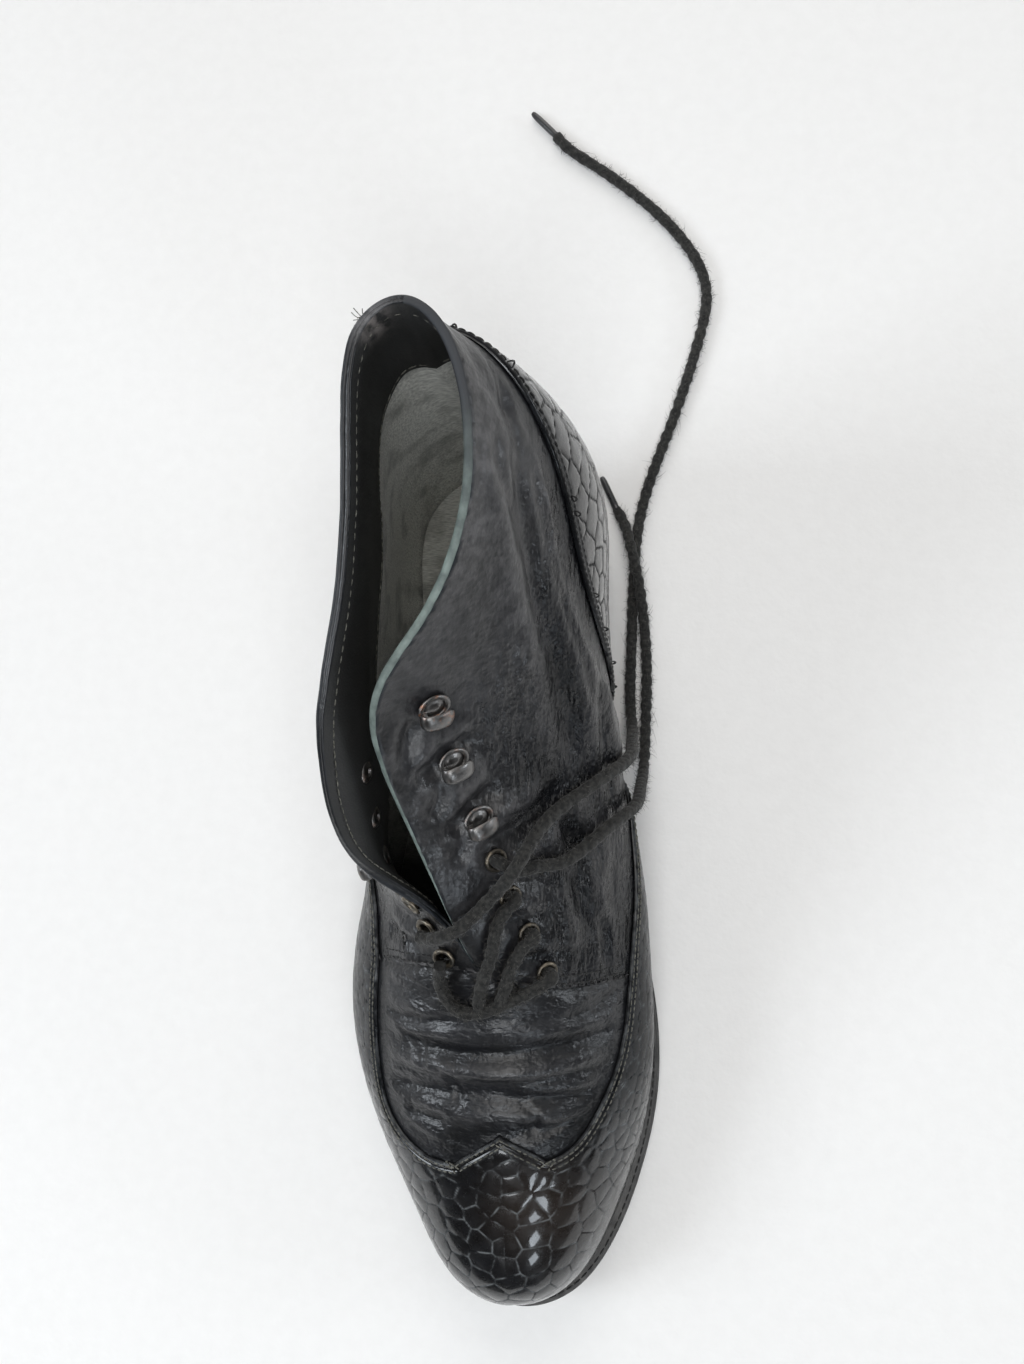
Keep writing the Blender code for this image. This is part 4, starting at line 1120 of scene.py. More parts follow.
def upper_shades(side, rib, rise, points, relief):
    """Wear on lips of folds, flap and collar edge, and the pebbling, which is less on the flap."""
    flap = ramp((rise - 0.62) / 0.2) * ramp((rib - 0.9) / 0.8) * ramp((6.6 - rib) / 0.8)
    collar = ramp((rise - 0.9) / 0.08) * ramp((rib - 0.8) / 0.5) * ramp((3.4 - rib) / 1.2)
    wear = np.clip(relief * 0.16, 0, 0.25) + FLAP_WEAR[side] * flap + collar_scuff(points)
    grain = FLAP_GRAIN + (SIDE_GRAIN[side] - FLAP_GRAIN) * ramp((0.84 - rise) / 0.2)
    return wear + RIM_WEAR[side] * collar, grain


def outer_face(form, side, ribs, split):
    """Creased outside; gives back the points under the quarter's step and those on it."""
    rib, rise = np.meshgrid(ribs, np.linspace(0, 1, UPPER_RISES + 1), indexing="ij")
    points, normals = last_sheet(side, rib, rise)
    relief = upper_relief(side, rib, rise, points)
    outer = points + normals * relief[..., None]
    lifted = outer + normals * quarter_lift(side, rib, rise)[..., None]
    wear, grain = upper_shades(side, rib, rise, points, relief)
    form.grid(lifted[:split + 1], ON_LEATHER, wear=wear[:split + 1], grain=grain[:split + 1])
    form.grid(outer[split:], ON_LEATHER, wear=wear[split:], groove=1.0)
    form.grid(np.stack([lifted[split], outer[split]]), ON_LEATHER, wear=0.6)
    return outer, lifted[:split + 1]


def inner_face(form, side, ribs):
    """Twill low down and a band of lining leather above it; gives back the points."""
    bands = band_rises(side, ribs)[:, None]
    low = bands * np.linspace(0, 1, LINING_ROWS + 1)
    high = bands + (1 - bands) * np.linspace(0, 1, BAND_ROWS + 1)
    rise = np.concatenate([low, high], axis=1)
    rib = np.repeat(ribs[:, None], rise.shape[1], axis=1)
    points, normals = last_sheet(side, rib, rise)
    depth = np.full(rise.shape, WALL)
    depth[:, LINING_ROWS + 1:] += BAND_STEP * ramp((THROAT - 0.5 - ribs[:, None]) / 0.5)
    depth[:, -1] = WALL
    relief = upper_relief(side, rib, rise, points)
    inner = points + normals * (relief - depth)[..., None]
    kinds = np.full((len(ribs) - 1, rise.shape[1] - 1), ON_TWILL)
    kinds[:, LINING_ROWS:] = ON_FACING
    form.grid(inner, kinds, wear=SCUFF_INSIDE * collar_scuff(points))
    return inner


def rounded_rim(form, side, ribs, lifted, inside):
    """Rim over collar and facing: painted on the inner side, leather with a groove and a painted highlight
    on the outer.
    """
    outside = lifted[:, -1]
    upward = unit(outside - lifted[:, -4])
    middle, half = (outside + inside) / 2, (outside - inside) / 2
    turn = np.linspace(0, math.pi, RIM_ROWS)
    bulge = RIM_BULGE * np.sin(turn)
    finish = ON_EDGE
    tint = np.repeat(ramp((ribs[:, None] - 1.3) / 1.2), RIM_ROWS, axis=1)
    if side == "lateral":
        bulge = bulge - RIM_GROOVE * bell((turn - math.pi / 2) / 0.22)
        finish = ON_LEATHER
        # Painted highlight: the outer half of this leather rim gets a lighter blue-grey, the inner half
        # only a little
        tint = np.where(turn < 1.2, 0.6, 0.1)
    settle = ramp((THROAT - ribs) / 0.3)
    rim = np.stack([middle + half * math.cos(t) + upward * (b * settle)[:, None]
                    for t, b in zip(turn, bulge)], axis=1)
    form.grid(rim, finish, tint=tint, wear=collar_scuff(rim))


def upper():
    """Hollow upper: creased outer face, rounded rim, lining leather band and twill below it."""
    ribs = fine_ribs(UPPER_RIB_STEPS)
    split = int(np.argmin(abs(ribs - THROAT)))
    form = Form()
    for side in SIDES:
        outer, lifted = outer_face(form, side, ribs, split)
        inner = inner_face(form, side, ribs)
        rounded_rim(form, side, ribs[:split + 1], lifted, inner[:split + 1, -1])
        form.grid(np.stack([outer[:, 0], inner[:, 0]]), ON_LEATHER)
        form.grid(np.stack([lifted[:, 0], outer[:split + 1, 0]]), ON_LEATHER)
    punch(form.piece("boot_upper", [LEATHER, EDGE_PAINT, FACING, TWILL], "leather", "upper", sharp=55))


def punch(made):
    """Cut the eyelets' holes through the upper."""
    cuts = Form()
    for centre, _, _, out in EYELETS.values():
        line = np.array([centre + out * reach for reach in CUT_REACH])
        cuts.tube(rings_along(line, [EYELET_CUT] * len(CUT_REACH), 24))
    cutter = linked("eyelet_holes", cuts.mesh("eyelet_holes", [], 30))
    cut = made.modifiers.new("holes", "BOOLEAN")
    cut.object = cutter
    cut.operation = "DIFFERENCE"
    cut.solver = "EXACT"
    ready = made.evaluated_get(bpy.context.evaluated_depsgraph_get())
    punched = bpy.data.meshes.new_from_object(ready)
    made.modifiers.clear()
    made.data = punched
    bpy.data.objects.remove(cutter)


# Embossed overlays: plain margin along the seam, number of places tried for scales, width of a groove,
# and how many steps of the front one step of the plain back spans
SCALE_MARGIN = 3.6
SCALE_TRIES = 9000
GROOVE_WIDTH = 0.22
BACK_STRIDE = 4
# Stitching channel and rubbed lines beside a seam: height, distance from the seam, width
CHANNEL = (0.42, 1.75, 0.45)
RUBBED_LINES = ((0.55, 0.3, 0.45), (0.35, 2.7, 0.5))
# Rounding of an overlay's edge: drop as a share of its thickness, and width
ROUNDED_DROP = 0.45
ROUNDED_WIDTH = 0.9
# Height of a scale's dome and depth of the groove round it
CAP_RELIEF = (0.2, 0.02)
COUNTER_RELIEF = (0.17, 0.28)
# Breadth of scales on the cap's sides, what its top has more, and on the counter
SIDE_SCALE = 4.0
TOP_SCALE_MORE = 1.9
COUNTER_SCALE = 7.0
# Scales placed one by one on the cap, where the window glints: x, station and height of their middles
PLACED_SCALES = ((11.5, 256.1, 46.3), (21.2, 258.7, 39.5), (11.2, 265.0, 43.9))
PLACED_SIZE = 8.5
# Steps of the cap's grids, and places along its seam
CAP_RIB_STEPS = 160
CAP_LOW_STEPS = 88
CAP_HIGH_STEPS = 32
WING_STEPS = 200
PEAK_STEPS = 20
WING_PLACES = 420
PEAK_PLACES = 80
# Steps of the counter's grid, places along its seam and the weights of rib and rise there
COUNTER_RIB_STEPS = 180
COUNTER_RISE_STEPS = 104
COUNTER_PLACES = 400
COUNTER_WEIGHTS = (1.0, 4.0)


def scale_seeds(points, sizes, draws, placed):
    """Middles of scales: the placed ones, then others thrown so that none lies too close to another."""
    kept = [to_world(x, station, z) for x, station, z in placed]
    reach = [PLACED_SIZE] * len(placed)
    for i in draws.permutation(len(points))[:SCALE_TRIES]:
        if kept:
            gaps = np.linalg.norm(np.array(kept) - points[i], axis=1)
            if (gaps < (np.array(reach) + sizes[i]) / 2).any():
                continue
        kept.append(points[i])
        reach.append(sizes[i])
    return np.array(kept)


def tree_of(points):
    tree = KDTree(len(points))
    for i, point in enumerate(points):
        tree.insert(point, i)
    tree.balance()
    return tree


def to_groove(points, seeds):
    """Distance of each point from the line round its own scale, and its place in it, 0 in the middle."""
    tree = tree_of(seeds)
    found = np.zeros(len(points))
    middle = np.zeros(len(points))
    for i, point in enumerate(points):
        (_, first, _), (_, second, _) = tree.find_n(point, 2)
        own, other = point - seeds[first], point - seeds[second]
        apart = np.linalg.norm(seeds[first] - seeds[second])
        found[i] = (np.dot(other, other) - np.dot(own, own)) / (2 * apart)
        middle[i] = np.linalg.norm(own)
    return found, middle / (middle + found + 0.01)


def from_seam(points, seam):
    tree = tree_of(seam)
    return np.array([tree.find(point)[2] for point in points])


def ridge(margin, height, place, width):
    """Soft ridge that runs at a place beside a seam."""
    return height * bell((margin - place) / width)


def embossed(name, finish, node, patches, seam, at, relief, placed, seed):
    """Overlay with scales in relief. Patches are (side, rib and rise grid, edges to close).

    The functions in at give the breadth of scales, the tint, and where the overlay is plain or dull.
    """
    domed, deep = relief
    draws = np.random.default_rng(seed)
    sheets = []
    for side, where, edges in patches:
        sheets.append((*last_sheet(side, where[..., 0], where[..., 1]), edges))
    every = np.concatenate([points.reshape(-1, 3) for points, _, _ in sheets])
    seeds = scale_seeds(every, at["size"](every), draws, placed)
    form = Form()
    for points, normals, edges in sheets:
        flat = points.reshape(-1, 3)
        shape = points.shape[:2]
        groove, middle = (found.reshape(shape) for found in to_groove(flat, seeds))
        margin = from_seam(flat, seam).reshape(shape)
        dull = at["dull"](points)
        scaly = ramp((margin - SCALE_MARGIN + 0.8) / 1.2) * (1 - at["plain"](points))
        line = bell(groove / (GROOVE_WIDTH + 0.4 * deep))
        dome = domed * (1 - np.square(middle))
        scales = scaly * (1 - 0.6 * dull) * (dome - deep * line)
        rounded = ROUNDED_DROP * np.square(1 - np.clip(margin / ROUNDED_WIDTH, 0, 1))
        height = OVERLAY_GAP + OVERLAY_THICK * (1 - rounded) + scales - ridge(margin, *CHANNEL)
        front = points + normals * height[..., None]
        back = (points + normals * OVERLAY_GAP)[::BACK_STRIDE, ::BACK_STRIDE]
        rub = sum(ridge(margin, *row) for row in RUBBED_LINES)
        form.grid(front, groove=np.maximum(line * scaly, rub), tint=at["tint"](points), wear=dull)
        form.grid(back)
        rims = {"first": (front[:, 0], back[:, 0]), "last": (front[:, -1], back[:, -1]),
                "end": (front[-1], back[-1])}
        for rim in edges:
            form.hem(*rims[rim], BACK_STRIDE, groove=0.3)
    form.piece(name, [finish], "croc", node, sharp=70)


def cap_seam():
    """Places (rib, rise) all along the cap's edge, for each side."""
    peak = np.stack(peak_seam(np.linspace(0, 1, PEAK_PLACES)), axis=-1)
    return {side: np.concatenate([wing_seam(side, WING_PLACES), peak[1:]]) for side in SIDES}


def cap_size(points):
    """Scales are small along the sides and larger on the top."""
    station = HEEL_Y - points[:, 1]
    return SIDE_SCALE + TOP_SCALE_MORE * ramp((station - 224) / 22) * ramp((points[:, 2] - 18) / 16)


def cap_tint(points):
    """Brown tinge on the inner half of the top."""
    return bell((points[..., 0] - 14) / 16) * bell((HEEL_Y - points[..., 1] - 248) / 16)


def cap_plain(points):
    """The foot of the toe is polished smooth."""
    station = HEEL_Y - points[..., 1]
    above = points[..., 2] - feather(station)
    return ramp((station - 232) / 24) * (1 - ramp((above - 13) / 8))


def cap_dull(points):
    """The wings have lost their shine."""
    return 1 - ramp((HEEL_Y - points[..., 1] - 205) / 25)


def toe_cap():
    """Winged cap over the toe: its front, the wings and the peak on the ridge."""
    low = np.linspace(LOW_RISE, SCALLOP_RISE, CAP_LOW_STEPS + 1)
    high = np.linspace(SCALLOP_RISE, 1.0, CAP_HIGH_STEPS + 1)
    patches = []
    for side in SIDES:
        ribs = np.linspace(SCALLOP_RIB, LAST_RIB, CAP_RIB_STEPS + 1)
        grid = np.meshgrid(ribs, np.concatenate([low, high[1:]]), indexing="ij")
        patches.append((side, np.stack(grid, axis=-1), ("first",)))

        seam = wing_seam(side, WING_STEPS + 1)
        share = np.linspace(0, 1, CAP_LOW_STEPS + 1)
        rise = LOW_RISE + (seam[:, 1:] - LOW_RISE) * share
        rib = np.repeat(seam[:, :1], len(share), axis=1)
        patches.append((side, np.stack([rib, rise], axis=-1), ("first", "last")))

        share = np.linspace(0, 1, CAP_HIGH_STEPS + 1)
        front, foot = peak_seam(np.linspace(0, 1, PEAK_STEPS + 1)[:, None])
        rib = np.repeat(front, len(share), axis=1)
        patches.append((side, np.stack([rib, foot + (1 - foot) * share], axis=-1), ("first",)))
    seam = np.concatenate([last_points(side, *rows.T) for side, rows in cap_seam().items()])
    at = {"size": cap_size, "tint": cap_tint, "plain": cap_plain, "dull": cap_dull}
    embossed("croc_toe_cap", CROC_CAP, "toe_cap", patches, seam, at, CAP_RELIEF, PLACED_SCALES, SEED + 1)


def heel_counter():
    """Embossed piece around the heel, highest at the back seam."""
    fine = np.linspace(0, COUNTER_SEAM[-1][0], COUNTER_PLACES)
    reach = along(np.stack([fine, counter_rise(fine)], axis=1) * COUNTER_WEIGHTS)
    ribs = np.interp(np.linspace(0, reach[-1], COUNTER_RIB_STEPS + 1), reach, fine)
    share = np.linspace(0, 1, COUNTER_RISE_STEPS + 1)
    patches = []
    for side in SIDES:
        rib = np.repeat(ribs[:, None], len(share), axis=1)
        rise = LOW_RISE + (counter_rise(ribs)[:, None] - LOW_RISE) * share
        patches.append((side, np.stack([rib, rise], axis=-1), ("first", "last", "end")))
    seam = np.concatenate([last_points(side, fine, counter_rise(fine)) for side in SIDES])

    def size_at(points):
        return np.full(len(points), COUNTER_SCALE)

    def nowhere(points):
        return np.zeros(points.shape[:-1])

    at = {"size": size_at, "tint": nowhere, "plain": nowhere, "dull": nowhere}
    embossed("croc_heel_counter", CROC_COUNTER, "heel_counter", patches, seam, at, COUNTER_RELIEF, (),
             SEED + 2)


# Shares of the sole edge at which plates and welt have a column, closer at heel and toe
SOLE_STEPS = 240
SOLE_SHARES = (1 - np.cos(np.linspace(0, math.pi, SOLE_STEPS + 1))) / 2
# Edge profiles (inset, height) from the bottom up; the welt's goes all the way round
OUTSOLE_BEVEL = 0.7
OUTSOLE_GROOVES = (2.2, 3.7)
GROOVE_DEEP = 0.4
GROOVE_HALF = 0.3
INSOLE_PROFILE = ((0.0, 0.0), (-0.5, 1.2), (-0.8, 2.2), (-0.6, 2.8), (0.4, INSOLE_THICK))
WELT_PROFILE = (
    (WELT_EDGE + 0.5, 0.0), (WELT_EDGE + 0.1, 0.25), (WELT_EDGE, 0.7), (WELT_EDGE, 1.2),
    (WELT_EDGE + 0.3, 1.35), (WELT_EDGE, 1.5), (WELT_EDGE + 0.05, 2.2), (WELT_EDGE + 0.3, 2.6),
    (WELT_EDGE + 0.7, WELT_THICK), (WELT_WIDTH, WELT_THICK), (WELT_WIDTH, 0.0), (WELT_EDGE + 0.5, 0.0),
)
# Heel: levels (height, inset) of the top lift, then insets of the stack at its foot and head, the lines
# between its layers and their depth
LIFT_LEVELS = ((0.0, 3.2), (0.25, 2.6), (0.8, 2.4), (5.4, 2.05), (5.8, 2.2), (TOP_LIFT, 2.5))
STACK_FOOT = 2.0
STACK_HEAD = 0.8
STACK_LINES = (1 / 3, 2 / 3)
STACK_LINE_DEEP = 0.35
STACK_LINE_HALF = 0.25


def plate(profile, ground, inset=nought):
    """Form of a plate under the whole foot from its edge profile of (inset, height), bottom to top."""
    sides = {}
    for side in SIDES:
        own = inset(edge(side, SOLE_SHARES, nought(SOLE_SHARES))[0][:, 1])
        sides[side] = [edge_line(side, SOLE_SHARES, own + reach, ground, height)
                       for reach, height in profile]
    left, right = sides["lateral"], sides["medial"]
    across = np.linspace(0, 1, 13)[1:-1]
    top = [left[-1] + (right[-1] - left[-1]) * c for c in across]
    bottom = [right[0] + (left[0] - right[0]) * c for c in across]
    form = Form()
    form.grid(np.stack(left + top + right[::-1] + bottom + [left[0]], axis=1))
    return form


def grooved(thick, bevel, grooves, deep):
    """Edge profile with rounded corners and fine grooves at the named heights."""
    rows = [(bevel, 0.0), (0.3 * bevel, 0.3 * bevel), (0.0, bevel)]
    for height in grooves:
        rows += [(0.0, height - GROOVE_HALF), (deep, height), (0.0, height + GROOVE_HALF)]
    return rows + [(0.0, thick - bevel), (0.3 * bevel, thick - 0.3 * bevel), (bevel, thick)]


def sole():
    """Outsole with two grooves round its edge, insole, welt and the layers of the heel."""
    outsole = plate(grooved(OUTSOLE_THICK, OUTSOLE_BEVEL, OUTSOLE_GROOVES, GROOVE_DEEP), underside)
    outsole.piece("sole_plate", [RUBBER], "rubber", "outsole", sharp=40)
    insole = plate(INSOLE_PROFILE, feather, insole_inset)
    insole.piece("insole_cloth", [TWILL], "cloth", "insole", sharp=40)
    welt = Form()
    for side in SIDES:
        rows = [edge_line(side, SOLE_SHARES, reach, welt_foot, height) for reach, height in WELT_PROFILE]
        welt.grid(np.stack(rows, axis=1))
    welt.piece("welt_strip", [WELT_EDGING], "welt", "welt", sharp=40)
    heel_layer("heel_lift", LIFT_LEVELS, "heel_top_lift")
    heel_layer("heel_stack", stack_levels(), "heel_block")


def stack_levels():
    """Levels (height, inset) of the stacked heel, with a fine line between its layers."""
    low, high = TOP_LIFT + GAP, HEEL_HEIGHT - GAP
    rows = [(low, STACK_FOOT + 0.4), (low + 0.3, STACK_FOOT)]
    for share in STACK_LINES:
        z = low + (high - low) * share
        inset = STACK_FOOT - (STACK_FOOT - STACK_HEAD) * share
        rows += [(z - STACK_LINE_HALF, inset), (z, inset + STACK_LINE_DEEP), (z + STACK_LINE_HALF, inset)]
    return rows + [(high - 0.3, STACK_HEAD), (high, STACK_HEAD + 0.3)]


def heel_layer(name, levels, node):
    """Layer of the heel with a straight breast; levels are (height, inset)."""
    rings = []
    for z, inset in levels:
        loop = []
        for side in SIDES:
            shares, points, _ = EDGES[side]
            last = np.interp(HEEL_BREAST - inset, points[:, 1], shares)
            share = last * (1 - np.cos(np.linspace(0, math.pi / 2, 61)))
            line = edge_line(side, share, inset, nought, z)
            loop.append(line[::-1] if side == "lateral" else line[1:])
        rings.append(np.concatenate(loop))
    form = Form()
    form.tube(np.stack(rings))
    form.piece(name, [RUBBER], "rubber", node, sharp=40)


# Roll of an eyelet's rim: height of its foot, and of its crown over that
EYELET_FOOT = 0.15
EYELET_ROLL = 0.8
# Tongue of a lace hook: (outward, height, half width) along its middle
HOOK_TONGUE = ((-2.4, 0.8, 1.6), (-3.7, 1.0, 1.9), (-4.5, 1.9, 2.1), (-4.6, 3.2, 2.2), (-3.9, 4.4, 2.3),
               (-2.4, 5.0, 2.4), (-0.4, 5.2, 2.4), (1.6, 5.0, 2.4), (3.1, 4.4, 2.2), (4.0, 3.6, 1.5))
TONGUE_STEP = 0.45
TONGUE_HALF = 0.4
TONGUE_BOW = 0.35
TONGUE_WIDEST = 2.4
# Ring of a hook (radius and height of its middle, half breadth, half thickness), then cup and rivet as
# turned profiles (radius, height)
RING_RADIUS = 3.1
RING_HEIGHT = 0.85
RING_HALF = (0.62, 0.5)
HOOK_CUP = ((0.0, 0.3), (2.6, 0.3), (2.6, 0.5), (1.7, 0.55), (1.5, 0.75), (0.9, 0.85), (0.0, 0.85))
HOOK_RIVET = ((0.0, -3.5), (0.9, -3.5), (1.3, -4.1), (2.4, -4.0), (3.2, -3.2), (3.2, -2.6), (0.0, -2.6))
# Turn of a hook from the facing edge, shift of its tongue to the toe, oval of its ring, and the worn one
HOOK_TURN = math.radians(28)
HOOK_SHIFT = 1.9
HOOK_OVAL = 1.3
WORN_HOOK = 3


def turned(form, seat, profile, sides, oval=1.0, **shades):
    """Ring turned about a seat's outward axis from a closed (radius, height) profile, drawn to an oval."""
    centre, first, second, out = seat
    angles = np.linspace(0, 2 * math.pi, sides + 1)[:, None]
    radius, height = np.array([*profile, profile[0]]).T
    spoke = oval * np.cos(angles)[..., None] * first + np.sin(angles)[..., None] * second
    form.grid(centre + radius[None, :, None] * spoke + height[None, :, None] * out, **shades)


def eyelets():
    """Rolled metal rims with their sleeves through the leather."""
    crown = (EYELET_HOLE + EYELET_RIM) / 2
    half = (EYELET_RIM - EYELET_HOLE) / 2
    deep = -(WALL + QUARTER_STEP)
    rolled = [(crown + half * math.cos(t), EYELET_FOOT + EYELET_ROLL * math.sin(t))
              for t in np.linspace(0, math.pi, 13)]
    profile = [(EYELET_SLEEVE, GAP / 2)] + rolled + [(EYELET_HOLE, deep), (EYELET_SLEEVE, deep)]
    for (side, number), seat in EYELETS.items():
        form = Form()
        turned(form, seat, profile, 40, wear=1.0)
        form.piece(f"eyelet_rim_{side}_{number}", [EYELET_METAL], "metal", f"eyelet_{side}_{number}")


def hooks():
    """Lace hooks: oval ring on the leather, tongue that rises at the facing edge and bends back."""
    rows = even_line(HOOK_TONGUE, TONGUE_STEP)
    middle, width = rows[:, :2], rows[:, 2]
    ahead = unit(np.gradient(middle, axis=0))
    thick = np.stack([-ahead[:, 1], ahead[:, 0]], axis=1)
    rounding = np.linspace(0, 2 * math.pi, 25)[:-1]
    ring = [(RING_RADIUS + RING_HALF[0] * math.cos(t), RING_HEIGHT + RING_HALF[1] * math.sin(t))
            for t in np.linspace(0, 2 * math.pi, 15)[:-1]]
    for (side, number), (centre, edgeward, beside, out) in HOOKS.items():
        heelward = beside if side == "lateral" else -beside
        away = math.sin(HOOK_TURN) * heelward - math.cos(HOOK_TURN) * edgeward
        across = math.cos(HOOK_TURN) * heelward + math.sin(HOOK_TURN) * edgeward
        seat = (centre, away, across, out)
        worn = number == WORN_HOOK
        form = Form()
        turned(form, seat, ring, 40, HOOK_OVAL, wear=0.35 + 0.65 * worn)
        turned(form, seat, HOOK_CUP, 32, HOOK_OVAL)
        turned(form, seat, HOOK_RIVET, 28, wear=0.3)
        loops = []
        for (a, h), (ta, th), w in zip(middle, thick, width):
            aside = w * np.sign(np.cos(rounding)) * np.abs(np.cos(rounding)) ** 0.35
            swell = TONGUE_HALF * np.sin(rounding) - TONGUE_BOW * (aside / TONGUE_WIDEST) ** 2
            loops.append(centre + np.outer(a + ta * swell, away) + np.outer(aside - HOOK_SHIFT, across)
                         + np.outer(h + th * swell, out))
        form.tube(np.stack(loops), wear=0.15 + 0.5 * worn)
        form.piece(f"lace_hook_{side}_{number}", [HOOK_METAL], "metal", f"hook_{side}_{number}")


# Stitches: pitch and radius of the thread
STITCHES = {
    "cap": (2.1, 0.24),
    "counter": (2.4, 0.3),
    "quarter": (2.3, 0.28),
    "tack": (1.5, 0.45),
    "lining": (2.8, 0.2),
    "welt": (3.2, 0.34),
}
# Share of the pitch that a stitch fills, its bow, the bow of a loose one, and how deep its ends sink
STITCH_FILL = 0.78
STITCH_BOW = 0.16
LOOSE_BOW = 1.3
STITCH_SINK = 0.08
# Rows: distances inside the seams of cap and counter (with the share of loose stitches there), ribs behind
# the quarters' front edges, depth under the rim, and inset from the welt's edge
OVERLAY_FACE = OVERLAY_GAP + OVERLAY_THICK - 0.1
CAP_ROWS = (0.75, 2.7)
COUNTER_ROWS = ((0.8, 0.0), (2.7, 0.12))
QUARTER_ROWS = (0.05, 0.15)
TACK_RISE = {"lateral": 0.70, "medial": 0.56}
RIM_ROW = 3.2
WELT_ROW = 1.9
# Tuft of loose threads on the collar: rib, distance below the edge, number and radius of its threads
TUFT_RIB = 0.66
TUFT_INSET = 0.6
TUFT_THREADS = 10
TUFT_RADIUS = 0.11


def stitch_row(form, kind, line, normals, draws, loose=0.0):
    """Stitches along a line, each a small bowed capsule; a few stand off as loose loops."""
    pitch, radius = STITCHES[kind]
    reach = along(line)
    count = max(1, int(reach[-1] / pitch))
    share = np.linspace(0, 1, 7)
    bow = np.sin(share * math.pi)
    for k in range(count):
        at = (k + 0.5 + (share - 0.5) * STITCH_FILL) * reach[-1] / count
        stand = LOOSE_BOW if draws.random() < loose else STITCH_BOW
        out = between(at, reach, normals) * (bow * stand - STITCH_SINK)[:, None]
        points = between(at, reach, line) + out
        form.tube(rings_along(points, radius * (0.55 + 0.45 * bow ** 0.5), 6))


def seam_row(side, places, inward, distance):
    """Line on an overlay's face inside its seam; inward is a (rib, rise) step towards the piece."""
    line, normals = last_sheet(side, *places.T)
    ahead = unit(np.gradient(line, axis=0))
    across = unit(np.cross(normals, ahead))
    rib, rise = (places + np.array(inward)).T
    aim = last_points(side, np.clip(rib, 0, LAST_RIB), np.clip(rise, 0, 1)) - line
    sign = np.sign(np.sum(across * aim, axis=1, keepdims=True))
    return line + across * sign * distance + normals * OVERLAY_FACE, normals


def cap_stitches(draws):
    form = Form()
    for side, places in cap_seam().items():
        for distance in CAP_ROWS:
            row = seam_row(side, places[places[:, 1] > 0.06], (0.12, -0.03), distance)
            stitch_row(form, "cap", *row, draws)
    form.piece("stitches_cap", [PALE_THREAD], "lace", sharp=80)


def counter_stitches(draws):
    form = Form()
    rib = np.linspace(0.02, 2.84, 300)
    places = np.stack([rib, counter_rise(rib)], axis=1)
    for side in SIDES:
        for distance, loose in COUNTER_ROWS:
            row = seam_row(side, places, (-0.1, -0.04), distance)
            stitch_row(form, "counter", *row, draws, loose)
    form.piece("stitches_counter", [DARK_THREAD], "lace", sharp=80)


def quarter_stitches(draws):
    """Two rows behind each quarter's front edge, and a short tack across them."""
    form = Form()
    for side in SIDES:
        low = float(np.interp(THROAT, *np.array(WING_SEAM[side]).T)) + 0.03
        rise = np.linspace(low, 0.93, 200)
        for back in QUARTER_ROWS:
            rib = np.full(rise.shape, THROAT - back)
            line, normals = last_sheet(side, rib, rise)
            lift = quarter_lift(side, rib, rise) + upper_relief(side, rib, rise, line)
            stitch_row(form, "quarter", line + normals * lift[:, None], normals, draws)
        rib = np.linspace(THROAT - 0.1, THROAT - 0.55, 40)
        tack = np.full(rib.shape, TACK_RISE[side])
        line, normals = last_sheet(side, rib, tack)
        line = line + normals * quarter_lift(side, rib, tack)[:, None]
        stitch_row(form, "tack", line, normals, draws)
    form.piece("stitches_quarter", [DARK_THREAD], "lace", sharp=80)


def lining_stitches(draws):
    """Rows under the rim and along the lining leather's lower edge, and the tuft on the collar."""
    form = Form()
    ribs = np.linspace(0.05, 6.6, 240)
    for side in SIDES:
        rims = np.array([rise_below_top(side, rib, RIM_ROW) for rib in ribs])
        hems = band_rises(side, ribs)
        for rises, deep in ((rims, WALL + 0.35), (hems + 0.012, WALL + BAND_STEP)):
            line, normals = last_sheet(side, ribs, rises)
            relief = upper_relief(side, ribs, rises, line)
            stitch_row(form, "lining", line + normals * (relief - deep)[:, None], -normals, draws)
    root, out = quarter_point("lateral", TUFT_RIB, TUFT_INSET)
    for _ in range(TUFT_THREADS):
        start = root - 0.5 * out + draws.normal(0, 0.35, 3)
        reach = draws.uniform(1.2, 3.2) * unit(out + draws.normal(0, 0.6, 3))
        sag = draws.normal(0, 0.7, 3)
        line = np.array([start + share * reach + share**2 * sag for share in np.linspace(0, 1, 5)])
        form.tube(rings_along(line, np.full(len(line), TUFT_RADIUS), 4))
    form.piece("stitches_lining", [PALE_THREAD], "lace", sharp=80)


def welt_stitches(draws):
    form = Form()
    share = np.linspace(0.18, 1.0, 500)
    for side in SIDES:
        line = edge_line(side, share, WELT_ROW, welt_foot, WELT_THICK)
        stitch_row(form, "welt", line, np.tile((0.0, 0.0, 1.0), (len(line), 1)), draws)
    form.piece("stitches_welt", [DARK_THREAD], "lace", sharp=80)


def stitches():
    """All rows of stitches, drawn one after another from the same chance."""
    draws = np.random.default_rng(SEED + 3)
    for rows in (cap_stitches, counter_stitches, quarter_stitches, lining_stitches, welt_stitches):
        rows(draws)


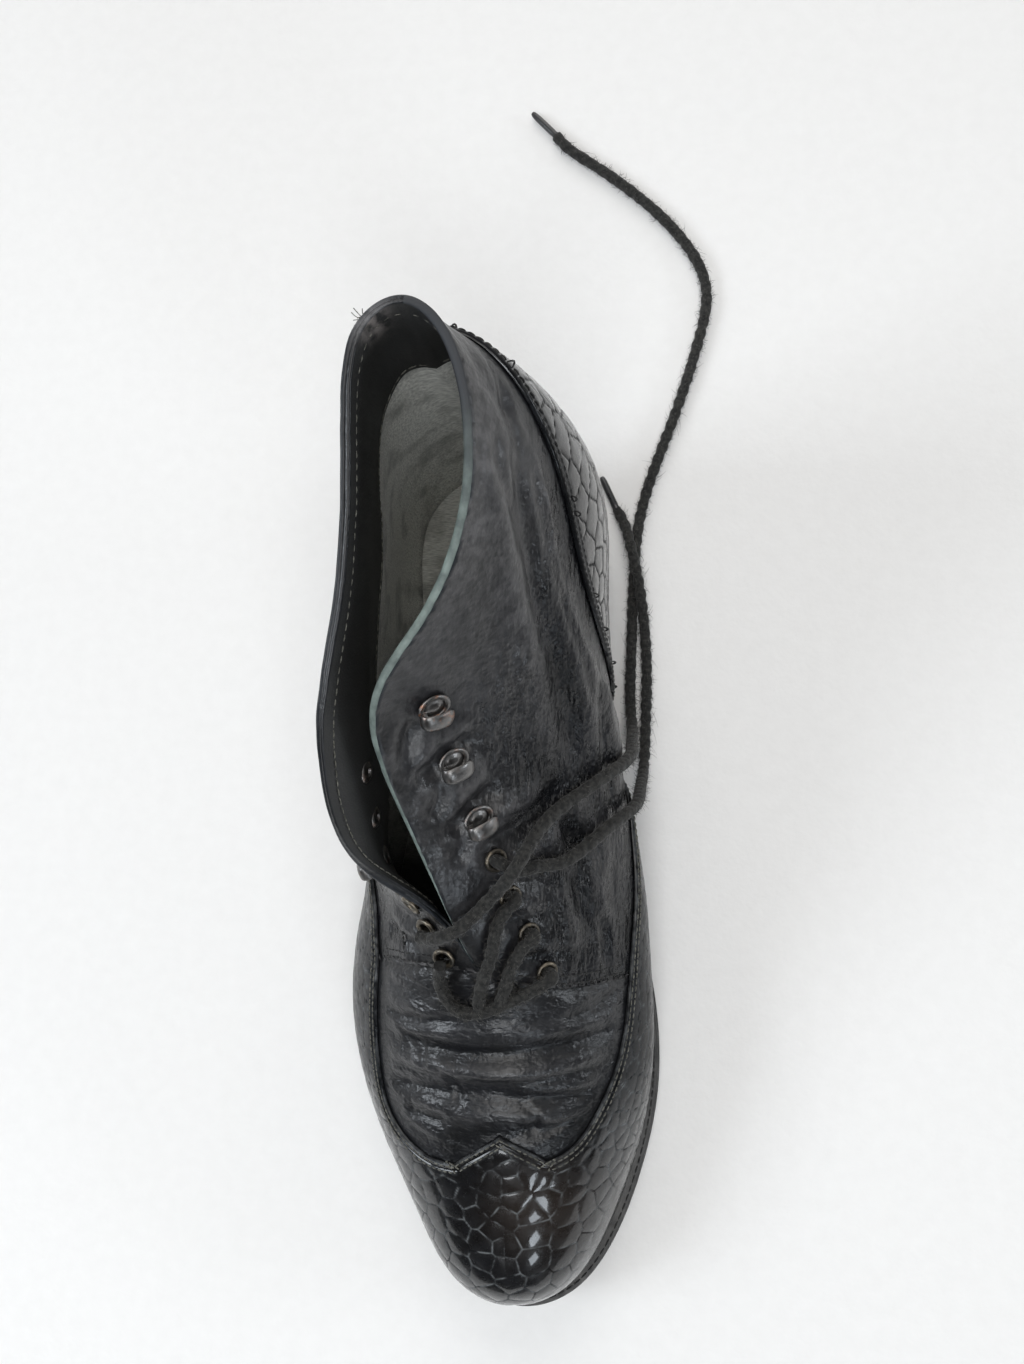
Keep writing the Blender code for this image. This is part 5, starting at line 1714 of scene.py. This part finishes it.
# Lamps and windows: name, place in metres, width, height, watts and colour
LIGHTS = (
    ("toe_window", (0.72, -1.36, 0.78), 0.34, 0.28, 3.0, (0.84, 0.92, 1.0)),
    ("vamp_lamp", (0.1, -0.85, 1.4), 0.8, 0.3, 7.2, (0.92, 0.96, 1.0)),
    ("outer_window", (-1.15, -0.12, 0.9), 0.6, 0.5, 9.0, (0.88, 0.94, 1.0)),
    ("inner_window", (1.45, 0.08, 0.5), 0.6, 0.22, 4.0, (0.88, 0.94, 1.0)),
    ("ceiling_lamp", (0.15, -0.05, 1.55), 1.0, 1.0, 8.0, (1.0, 0.985, 0.965)),
    ("heel_softbox", (0.0, 1.6, 1.3), 1.4, 1.0, 12.0, (1.0, 0.985, 0.965)),
)
AIM_LIGHTS = Vector((0.0, -0.05, 0.05))

# World light as products of ramps over the direction's parts: rows of (part, share)
SKY_COLOUR = (0.985, 0.99, 1.0, 1.0)
SKY_LEVEL = 0.47
SKY_RAMPS = {
    "Z": ((-1.0, 1.7), (0.08, 1.7), (0.25, 1.2), (0.45, 0.4), (0.8, 0.35), (1.0, 0.6)),
    "Y": ((-1.0, 0.1), (-0.25, 0.12), (0.05, 0.55), (0.2, 1.1), (0.5, 1.7), (1.0, 1.8)),
    "X": ((-1.0, 0.75), (-0.3, 1.0), (0.4, 0.8), (1.0, 0.4)),
}

# Floor: half its breadth, and how far it lies below the sole
FLOOR_HALF = 4000.0
FLOOR_DROP = 0.1


def sky():
    """World light: bright near the horizon, dark higher up and beyond the toe."""
    world = bpy.data.worlds.new("studio")
    bpy.context.scene.world = world
    world.use_nodes = True
    nodes = Nodes(world.node_tree)
    back = nodes.tree.nodes["Background"]
    nodes.feed(back, "Color", SKY_COLOUR)
    direction = nodes.node("ShaderNodeTexCoord").outputs["Generated"]
    parts = nodes.node("ShaderNodeSeparateXYZ", Vector=direction).outputs
    strength = SKY_LEVEL
    for part, rows in SKY_RAMPS.items():
        share = nodes.node("ShaderNodeValToRGB", Fac=nodes.span(parts[part], -1.0, 1.0))
        share.color_ramp.interpolation = "EASE"
        stops = share.color_ramp.elements
        while len(stops) < len(rows):
            stops.new(1.0)
        for stop, (at, bright) in zip(stops, rows):
            stop.position = (at + 1) / 2
            stop.color = (bright, bright, bright, 1.0)
        strength = nodes.times(share.outputs["Color"], strength)
    nodes.feed(back, "Strength", strength)


def light():
    """Lamps and windows that face the boot, and the world's light."""
    for name, at, width, height, watts, colour in LIGHTS:
        data = bpy.data.lights.new(name, "AREA")
        data.shape = "RECTANGLE"
        data.size, data.size_y = width, height
        data.energy = watts
        data.color = colour
        made = linked(name, data)
        made.location = at
        made.rotation_euler = (AIM_LIGHTS - Vector(at)).to_track_quat("-Z", "Y").to_euler()
    sky()


def floor():
    """Pale paper floor."""
    across = np.array((-FLOOR_HALF, FLOOR_HALF))
    x, y = np.meshgrid(across, across)
    form = Form()
    form.grid(np.stack([x, y, np.full(x.shape, -FLOOR_DROP)], axis=-1))
    made = linked("floor", form.mesh("floor", [floor_finish()], 30))


camera()
lace()
upper()
toe_cap()
heel_counter()
sole()
eyelets()
hooks()
stitches()
light()
floor()
bpy.context.scene.view_settings.view_transform = "Standard"
